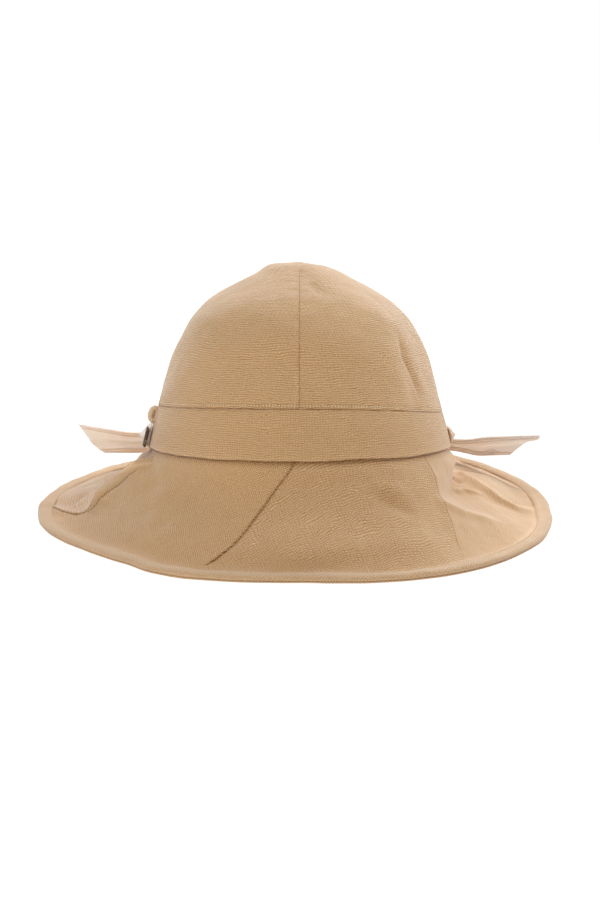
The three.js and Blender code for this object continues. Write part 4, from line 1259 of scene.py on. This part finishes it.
# painted shade along the groove row and on the top's inner half round the back right; painted light on that
# half at the right
rim_painted_light = -hill(section_walk - section_walk[GROOVE_ROW], 0.5) - inner_half * painted_shade_round
rim_loops = on_bearing(rim_ring, rim_out, binding_up + rise)
closed_tube(
    "rim_binding", rim_loops, rim_grain, rim_painted_light, tape_linen, ["rim_tape"], ring=True
)

# %% [markdown]
# ## Stitches
# A row of stitches is one short rounded thread repeated along a line on the cloth. Geometry Nodes do this
# well: the line is resampled at the stitch length, a small bead is set on every point and turned along the
# line, and the copies are made real. The pitch, the thread's size and its finish are the tree's inputs.


# %% Stitch tree
def stitch_tree():
    tree = bpy.data.node_groups.new("row_of_stitches", "GeometryNodeTree")
    face = tree.interface
    face.new_socket("Line", in_out="INPUT", socket_type="NodeSocketGeometry")
    for name, value in (("Pitch", 0.002), ("Stitch length", 0.0013), ("Thread", 0.0004)):
        face.new_socket(name, in_out="INPUT", socket_type="NodeSocketFloat").default_value = value
    face.new_socket("Finish", in_out="INPUT", socket_type="NodeSocketMaterial")
    face.new_socket("Stitches", in_out="OUTPUT", socket_type="NodeSocketGeometry")
    wires = Wiring(tree)
    given = tree.nodes.new("NodeGroupInput").outputs
    curve = wires.new("GeometryNodeMeshToCurve", {"Mesh": given["Line"]})
    points = {"Curve": curve, "Length": given["Pitch"]}
    evened = wires.new("GeometryNodeResampleCurve", points, mode="LENGTH")
    tangent = wires.new("GeometryNodeInputTangent", {})
    turn = wires.new("FunctionNodeAlignRotationToVector", {"Vector": tangent}, axis="X")
    bead = wires.new("GeometryNodeMeshUVSphere", {"Segments": 6, "Rings": 5, "Radius": 0.5})
    size = wires.combine(given["Stitch length"], given["Thread"], given["Thread"])
    beads = {"Points": evened, "Instance": bead, "Rotation": turn, "Scale": size}
    placed = wires.new("GeometryNodeInstanceOnPoints", beads)
    real = wires.new("GeometryNodeRealizeInstances", {"Geometry": placed})
    finished = wires.new("GeometryNodeSetMaterial", {"Geometry": real, "Material": given["Finish"]})
    wires.fill(tree.nodes.new("NodeGroupOutput"), {"Stitches": finished})
    return tree


STITCH_TREE = stitch_tree()


def stitch_row(name, line, pitch, length, thread, finish):
    """Stitches along a line of points in mm."""
    mesh = bpy.data.meshes.new(name)
    edges = [(k, k + 1) for k in range(len(line) - 1)]
    mesh.from_pydata(((line + HAT_AXIS) * MM).tolist(), edges, [])
    row = put_in_scene(name, mesh)
    modifier = row.modifiers.new("stitches", "NODES")
    modifier.node_group = STITCH_TREE
    sizes = {"Pitch": pitch * MM, "Stitch length": length * MM, "Thread": thread * MM, "Finish": finish}
    for item in STITCH_TREE.interface.items_tree:
        if item.in_out == "INPUT" and item.name in sizes:
            modifier[item.identifier] = sizes[item.name]
    graph = bpy.context.evaluated_depsgraph_get()
    made = bpy.data.meshes.new_from_object(row.evaluated_get(graph))
    row.modifiers.clear()
    row.data = made
    made.shade_smooth()
    return seat(row)


print("stitch tree has", len(STITCH_TREE.nodes), "nodes")


# %% Crown and brim stitches
def crown_line(bearings, above):
    """A line on the crown, above mm over its lower edge."""
    points = []
    for seam in SEAM_DEPTH:
        inside = bearings[(bearings > seam + 0.35) & (bearings < seam + GORE_TURN - 0.35)]
        place = crown_edge(inside) + above / CROWN_ROW
        point, out, _ = crown_surface(inside, place, seam, seam + GORE_TURN)
        points.append(point + 0.12 * out)
    return np.concatenate(points)


def brim_line(line):
    """A line on the brim through points of (bearing, place)."""
    place = np.linspace(line[0][1], line[-1][1], 160)
    bearing = curve_value([(at, turned) for turned, at in line], place)
    point, up, _ = brim_surface(bearing, place)
    return point + 0.08 * up


def rim_line(bearings):
    """A line on the binding's top, near its inner edge."""
    reach = around_hat(RIM_REACH, 1, bearings) - binding_width(bearings) + 1.3
    return on_bearing(bearings, reach, BINDING_TOP - 0.2 + np.interp(bearings, rim_bearings, rise[:, 19]))


crown_row = crown_line(np.arange(0, TURN, 0.5), 2.0)
stitch_row("crown_topstitch", crown_row, 1.75, 1.15, 0.75, light_thread)
stitch_row("ridge_topstitch", brim_line(SEWN_FOLD), 2.4, 1.7, 0.4, dark_thread)
stitch_row("rim_topstitch", rim_line(np.linspace(0, TURN, 901)), 2.1, 1.5, 0.4, light_thread)

# %% [markdown]
# ## Ribbon round the back
# The ribbon passes through the slide on the left, runs round the back of the band and ends in the knot. It
# is soft and a little too wide for its place, so it lies in two or three lengthwise pleats and bulges where
# it leaves the slide. A closed section is carried along the band and its outer side takes the pleats.

# %% Ribbon pieces
TIE_LEFT = [  # bearing, middle height, tall, proud
    (-77.8, 6.5, 10, 0.9),
    (-82, 6.3, 11, 1.2),
    (-88, 5.8, 11, 2.2),
    (-95, 5.8, 11, 6.0),
    (-104, 7.8, 11, 4.6),
    (-118, 9.0, 11, 2.8),
    (-145, 9.8, 12, 2.4),
    (-174, 10.5, 10.5, 3.4),
]
TIE_RIGHT = [
    (90, 5.3, 8.5, 1.0),
    (94, 5.3, 9.0, 3.0),
    (99, 5.5, 9.0, 4.6),
    (110, 6.6, 9.5, 3.2),
    (140, 9.2, 12, 2.4),
    (174, 10.5, 10.5, 3.4),
]
TIE_OFF_BAND = 0.7
TIE_SECTION = 44
TIE_STEP = 0.9  # mm between the rows, where a degree of the band is about 1.6 mm


def tie_ribbon(name, rows, replaced, seed, cloth):
    table = np.array(rows, float)
    turn_sign = np.sign(table[-1, 0])
    knots = turn_sign * table[:, 0]
    along = np.linspace(knots[0], knots[-1], int((knots[-1] - knots[0]) * 1.6 / TIE_STEP))[:, None]
    middle, tall, proud = np.moveaxis(through_points(table[:, 1:], knots, along), -1, 0)
    around = np.linspace(0, 2 * math.pi, TIE_SECTION + 1)[None, :]
    up = -0.5 * np.cos(around)
    side = np.clip(np.sin(around), 0, 1)
    metre = along * DEG * BAND_REACH
    rng = np.random.default_rng(seed)
    drift = 0
    for _ in range(3):
        drift = drift + rng.uniform(0.3, 0.6) * np.sin(metre / rng.uniform(9, 22) + rng.uniform(0, 6))
    pleats = np.cos(2 * math.pi * (1.7 * up + 0.2 * drift)) * side**2
    height = middle + up * tall
    depth = side**0.6 * proud * (1 + 0.12 * pleats) + 0.12 * side * pleats
    half_width = band_half_width(along, np.clip(height, 0, None)) + TIE_OFF_BAND + depth
    loops = on_head(turn_sign * along + 0 * height, half_width, height)
    grain = stacked(metre, 0.5 * around * tall / math.pi)
    # the pleats also give painted light: lighter on their crests, painted shade between them
    return closed_tube(name, loops, grain, 0.5 * pleats, cloth, [replaced])


tie_ribbon("ribbon_left", TIE_LEFT, "tie_left", 51, ribbon_linen)
tie_ribbon("ribbon_right", TIE_RIGHT, "tie_right", 52, tie_shade_linen)

# %% [markdown]
# ## Knot
# The two ribbon ends are tied at the back. Seen from behind the knot is a short upright wrap, drawn in at
# the waist, with folds that fan out above and below it. It is a rounded body whose surface is pushed in and
# out by the folds.

# %% Knot piece
KNOT_PLACE = (180, 10.5, 5.9)  # bearing, height, out from the band
KNOT_HALF = (9.4, 9.6, 6.0)  # wide, tall, deep
KNOT_FOLD = 0.05
BAND_LEAN = math.atan2(HEAD_HALF_WIDTH - BAND_TOP_HALF_WIDTH, BAND_HEIGHT)


def place_on_band(points, bearing, height, out, turn=0.0):
    """Moves points whose X runs round the hat, Y up and Z out, to a place on the band."""
    reach = oval_reach(bearing, band_half_width(bearing, height)) + out
    lean = Matrix.Rotation(math.pi / 2 - BAND_LEAN, 3, "X")
    face = Matrix.Rotation((bearing + turn) * DEG, 3, "Z")
    tilt = Matrix.Rotation(-HEADLINE_TILT * DEG, 3, "X")
    turned = points @ np.array(face @ lean).T + on_bearing(float(bearing), reach, height)
    return turned @ np.array(tilt).T + np.array([0, 0, HEADLINE_HEIGHT])


def squared(value):
    """Draws a round outline out towards a box."""
    return np.sign(value) * np.abs(value) ** 0.8


polar = np.linspace(0.02, math.pi - 0.02, 70)[:, None]
azimuth = np.linspace(0, 2 * math.pi, 121)[None, :]
knot_x = np.sin(polar) * np.cos(azimuth)
knot_y = np.cos(polar) + 0 * azimuth
knot_z = np.sin(polar) * np.sin(azimuth)
waist = hill(knot_y, 0.35)
wrap_folds = KNOT_FOLD * np.cos(knot_x * 16 + 2.2 * knot_y) + 0.03 * np.cos(knot_x * 29 - 3 * knot_y + 1)
fan_folds = KNOT_FOLD * np.cos(np.arctan2(knot_x, knot_y) * 13) * np.abs(knot_y)
knot_swell = 0.94 + wrap_folds * waist + fan_folds * (1 - waist)
knot_parts = [
    KNOT_HALF[0] * squared(knot_x) * knot_swell,
    KNOT_HALF[1] * squared(knot_y) * (1 + 0.5 * (knot_swell - 1)),
    KNOT_HALF[2] * (1 - 0.14 * waist) * squared(knot_z) * knot_swell,
]
knot_points = place_on_band(stacked(*knot_parts), *KNOT_PLACE)
knot_grain = stacked(9 * azimuth, 9 * polar)
# painted light on the knot: lighter where its folds swell out, painted shade where they sink in
knot_painted_light = 6 * (knot_swell - 0.94)
closed_tube("ribbon_knot", knot_points, knot_grain, knot_painted_light, ribbon_linen, ["tie_knot"])

# %% [markdown]
# ## Tails
# Two loose ends of the ribbon leave the knot, rest against the back of the brim and reach out past its
# sides. Each is one strip of cloth with a narrow rolled hem along both edges and soft lengthwise folds, and
# the right one has a darker grey colour as painted shade. The strip follows a lower and an upper edge line,
# and a few waves across it make the folds.

# %% Tail tables
TAIL_LEFT = [  # lower edge, upper edge
    ((-9.7, 104.4, 26), (-9.7, 103.2, 38)),
    ((-30, 106.5, 19.5), (-30, 102, 35)),
    ((-62, 95, 15.5), (-62, 88, 30)),
    ((-95, 71, 16.4), (-97, 66, 30.0)),
    ((-111, 60, 18.4), (-117, 55, 34.4)),
    ((-121.0, 56, 19.2), (-137.5, 54, 38.2)),
]
TAIL_RIGHT = [
    ((9.7, 104.4, 26), (9.7, 103.2, 38)),
    ((30, 106.5, 19.5), (30, 102, 34)),
    ((62, 95, 16), (62, 89, 28)),
    ((96, 70, 17.4), (97, 66, 25.6)),
    ((114, 60, 16.6), (120, 56, 29.6)),
    ((130.8, 54, 18.2), (149.0, 53, 31.4)),
]
# Folds: place across, spread, depth, slant.
LEFT_FOLDS = [(0.36, 0.1, -1.3, 0.1), (0.22, 0.08, 0.8, 0), (0.62, 0.12, 1.0, -0.15), (0.85, 0.1, -0.6, 0.1)]
RIGHT_FOLDS = [(0.45, 0.16, -0.6, 0.15), (0.75, 0.14, 0.5, -0.1)]
# The cut at the end: share of the width, and how far out it reaches there.
LEFT_END = [(0, 0), (0.12, 2.0), (0.35, 2.8), (0.6, 1.2), (0.85, 0.2), (1, 0)]
RIGHT_END = [(0, 0), (0.3, -1.4), (0.56, -1.8), (0.67, -1.6), (0.74, 3.2), (0.82, 3.2), (0.9, 1.9), (1, 0)]
# Where the hem is wider, over what length, and by how much.
LEFT_BUMP = (3.6, 0.5, 0.6)
RIGHT_BUMP = (4.25, 0.16, 2.4)
print(len(TAIL_LEFT), "rows in each tail")

# %% Tail pieces
TAIL_CLOTH = 1.2
TAIL_ROWS = 190
TAIL_COLUMNS = 56
TAIL_SPAN = 20  # about the mm from one row of the table to the next, at the end
HEM_WIDE = 2.4
HEM_THICK = 0.5


def tail_centre(rows, folds, end_curve, seed):
    """The strip's middle layer, with its place along and across, its width and the direction out of it."""
    lower, upper = np.moveaxis(np.array(rows, float), 1, 0)
    knots = np.arange(len(rows))
    steps = np.linspace(0, knots[-1], TAIL_ROWS)
    along, across = np.meshgrid(steps, edge_spacing(TAIL_COLUMNS, 0.3, 16), indexing="ij")

    def skin(at, share):
        low = through_points(lower, knots, at)
        high = through_points(upper, knots, at)
        return low + (high - low) * share[..., None]

    lengthways = skin(along + 0.01, across) - skin(along - 0.01, across)
    lengthways /= np.linalg.norm(lengthways, axis=-1, keepdims=True)
    curve = np.array(end_curve, float)
    reach_out = np.interp(across, curve[:, 0], curve[:, 1]) * smooth_step(knots[-3], knots[-1], along)
    centre = skin(along, across) + lengthways * reach_out[..., None]
    upwards = skin(along, np.ones_like(across)) - skin(along, np.zeros_like(across))
    side = np.cross(lengthways, upwards)
    side /= np.linalg.norm(side, axis=-1, keepdims=True)
    side = side * -np.sign(side[..., 1].mean())
    wave = np.zeros_like(along)
    for middle, spread, depth, slant in folds:
        line = middle + slant * (along / knots[-1] - 0.5)
        wave = wave + depth * hill(across - line, spread)
    wave = wave + 0.35 * slack(centre, 26, seed)
    centre = centre + side * (wave * smooth_step(0, 0.5, along))[..., None]
    return centre, along, across, np.linalg.norm(upwards, axis=-1), side, wave


def tail_strip(name, rows, replaced, folds, end_curve, bump, seed, cloth):
    centre, along, across, width, side, wave = tail_centre(rows, folds, end_curve, seed)
    edge = np.minimum(across, 1 - across) * width
    over_hem = edge - HEM_WIDE - bump[2] * hill(along - bump[0], bump[1]) * (across < 0.5)
    half = 0.5 * TAIL_CLOTH - rolled_edge(edge, 0.55) + HEM_THICK * smooth_step(0.35, -0.35, over_hem)
    half = half - rolled_edge((len(rows) - 1 - along) * TAIL_SPAN, 0.5)
    thick = side * np.clip(half, 0.1, None)[..., None]
    grain = stacked(walk(centre[:, TAIL_COLUMNS // 2])[:, None], across * width)
    # painted light on the tail: lighter and darker along its folds, a painted highlight along the hem's fold,
    # painted shadow just beside it, and the hem band a little darker
    crease = 0.2 * wave + 1.1 * hill(over_hem + 0.5, 0.5) - 1.9 * hill(over_hem - 0.5, 0.45)
    crease = crease - 0.3 * smooth_step(0.2, -0.8, over_hem)
    strip = cloth_wall(name, centre + thick, centre - thick, grain, crease, cloth, [replaced])
    return strip


tail_strip("ribbon_tail_left", TAIL_LEFT, "tail_left", LEFT_FOLDS, LEFT_END, LEFT_BUMP, 61, ribbon_linen)
tail_strip("ribbon_tail_right", TAIL_RIGHT, "tail_right", RIGHT_FOLDS, RIGHT_END, RIGHT_BUMP, 62, ribbon_shaded)

# %% [markdown]
# ## Keeper loop and slide
# Above the slide a short loop of cord stands out from the band. Two strands are twisted together, so its
# section has two lobes that turn as they go round. The slide is a flat plate with four upright slots; its
# edges are softened with a bevel.

# %% Keeper loop
KEEPER_STEPS = 96
KEEPER_PLACE = (-81, 19.6, 1.2)  # bearing, height, out from the band
KEEPER_OUT = 1.8
KEEPER_TALL = 3.5
KEEPER_CORD = 1.85
loop_turn = np.linspace(0, 2 * math.pi, KEEPER_STEPS + 1)[:, None]
cord_turn = np.linspace(0, 2 * math.pi, 25)[None, :]
cord_radius = KEEPER_CORD * (0.93 + 0.07 * np.abs(np.cos(cord_turn - 4 * loop_turn)))
cord_out = cord_radius * np.cos(cord_turn)
loop_across = 1.9 * cord_radius * np.sin(cord_turn)
loop_up = (KEEPER_TALL + cord_out) * np.sin(loop_turn)
loop_out = (KEEPER_OUT + cord_out) * np.cos(loop_turn)
keeper_points = place_on_band(stacked(loop_across, loop_up, loop_out), *KEEPER_PLACE)
keeper_grain = stacked(2.8 * loop_turn, 1.2 * cord_turn)
# painted light on the cord: lighter on the strands' swell, painted shade in the twist between them
keeper_painted_light = 2 * (cord_radius - 1.8)
closed_tube(
    "keeper_cord", keeper_points, keeper_grain, keeper_painted_light, cord_linen, ["keeper_loop"],
    ring=True,
)

# %% Slide
SLIDE_PLACE = (-80, 6.2, 2.1, -2)  # bearing, height, out from the band, turn
SLIDE_WIDE = 10.5
SLIDE_TALL = 11.6
SLIDE_THICK = 1.3
SLIDE_BAR = 1.3
SLIDE_SLOTS = 4
slot_wide = (SLIDE_WIDE - (SLIDE_SLOTS + 1) * SLIDE_BAR) / SLIDE_SLOTS
slide_xs = [-SLIDE_WIDE / 2]
for slot_number in range(SLIDE_SLOTS):
    slide_xs += [slide_xs[-1] + SLIDE_BAR, slide_xs[-1] + SLIDE_BAR + slot_wide]
slide_xs += [slide_xs[-1] + SLIDE_BAR]
slide_ys = [-SLIDE_TALL / 2, -SLIDE_TALL / 2 + SLIDE_BAR, SLIDE_TALL / 2 - SLIDE_BAR, SLIDE_TALL / 2]
slide_mesh = bmesh.new()
below, above = (
    [[slide_mesh.verts.new((x, y, z)) for y in slide_ys] for x in slide_xs] for z in (0, SLIDE_THICK)
)
cells = list(np.ndindex(len(slide_xs) - 1, len(slide_ys) - 1))
solid = [(column, row) for column, row in cells if row != 1 or column % 2 == 0]
for column, row in solid:
    corners = [(column, row), (column + 1, row), (column + 1, row + 1), (column, row + 1)]
    beside = [(column, row - 1), (column + 1, row), (column, row + 1), (column - 1, row)]
    slide_mesh.faces.new([above[x][y] for x, y in corners])
    slide_mesh.faces.new([below[x][y] for x, y in corners[::-1]])
    for (x, y), (next_x, next_y), neighbour in zip(corners, corners[1:] + corners[:1], beside):
        if neighbour not in solid:
            slide_mesh.faces.new([below[x][y], below[next_x][next_y], above[next_x][next_y], above[x][y]])
slide_mesh.normal_update()
sharp = [edge for edge in slide_mesh.edges if edge.calc_face_angle() > 0.5]
bmesh.ops.bevel(slide_mesh, geom=sharp, offset=0.3, segments=3, affect="EDGES", profile=0.5)
flat_points = np.array([corner.co for corner in slide_mesh.verts])
for corner, point in zip(slide_mesh.verts, place_on_band(flat_points, *SLIDE_PLACE)):
    corner.co = (point + HAT_AXIS) * MM
bmesh.ops.recalc_face_normals(slide_mesh, faces=slide_mesh.faces)
slide_data = bpy.data.meshes.new("slide_plate")
slide_mesh.to_mesh(slide_data)
slide_mesh.free()
slide_data.materials.append(slide_metal)
seat(put_in_scene("slide_plate", slide_data), ["metal_slide"])
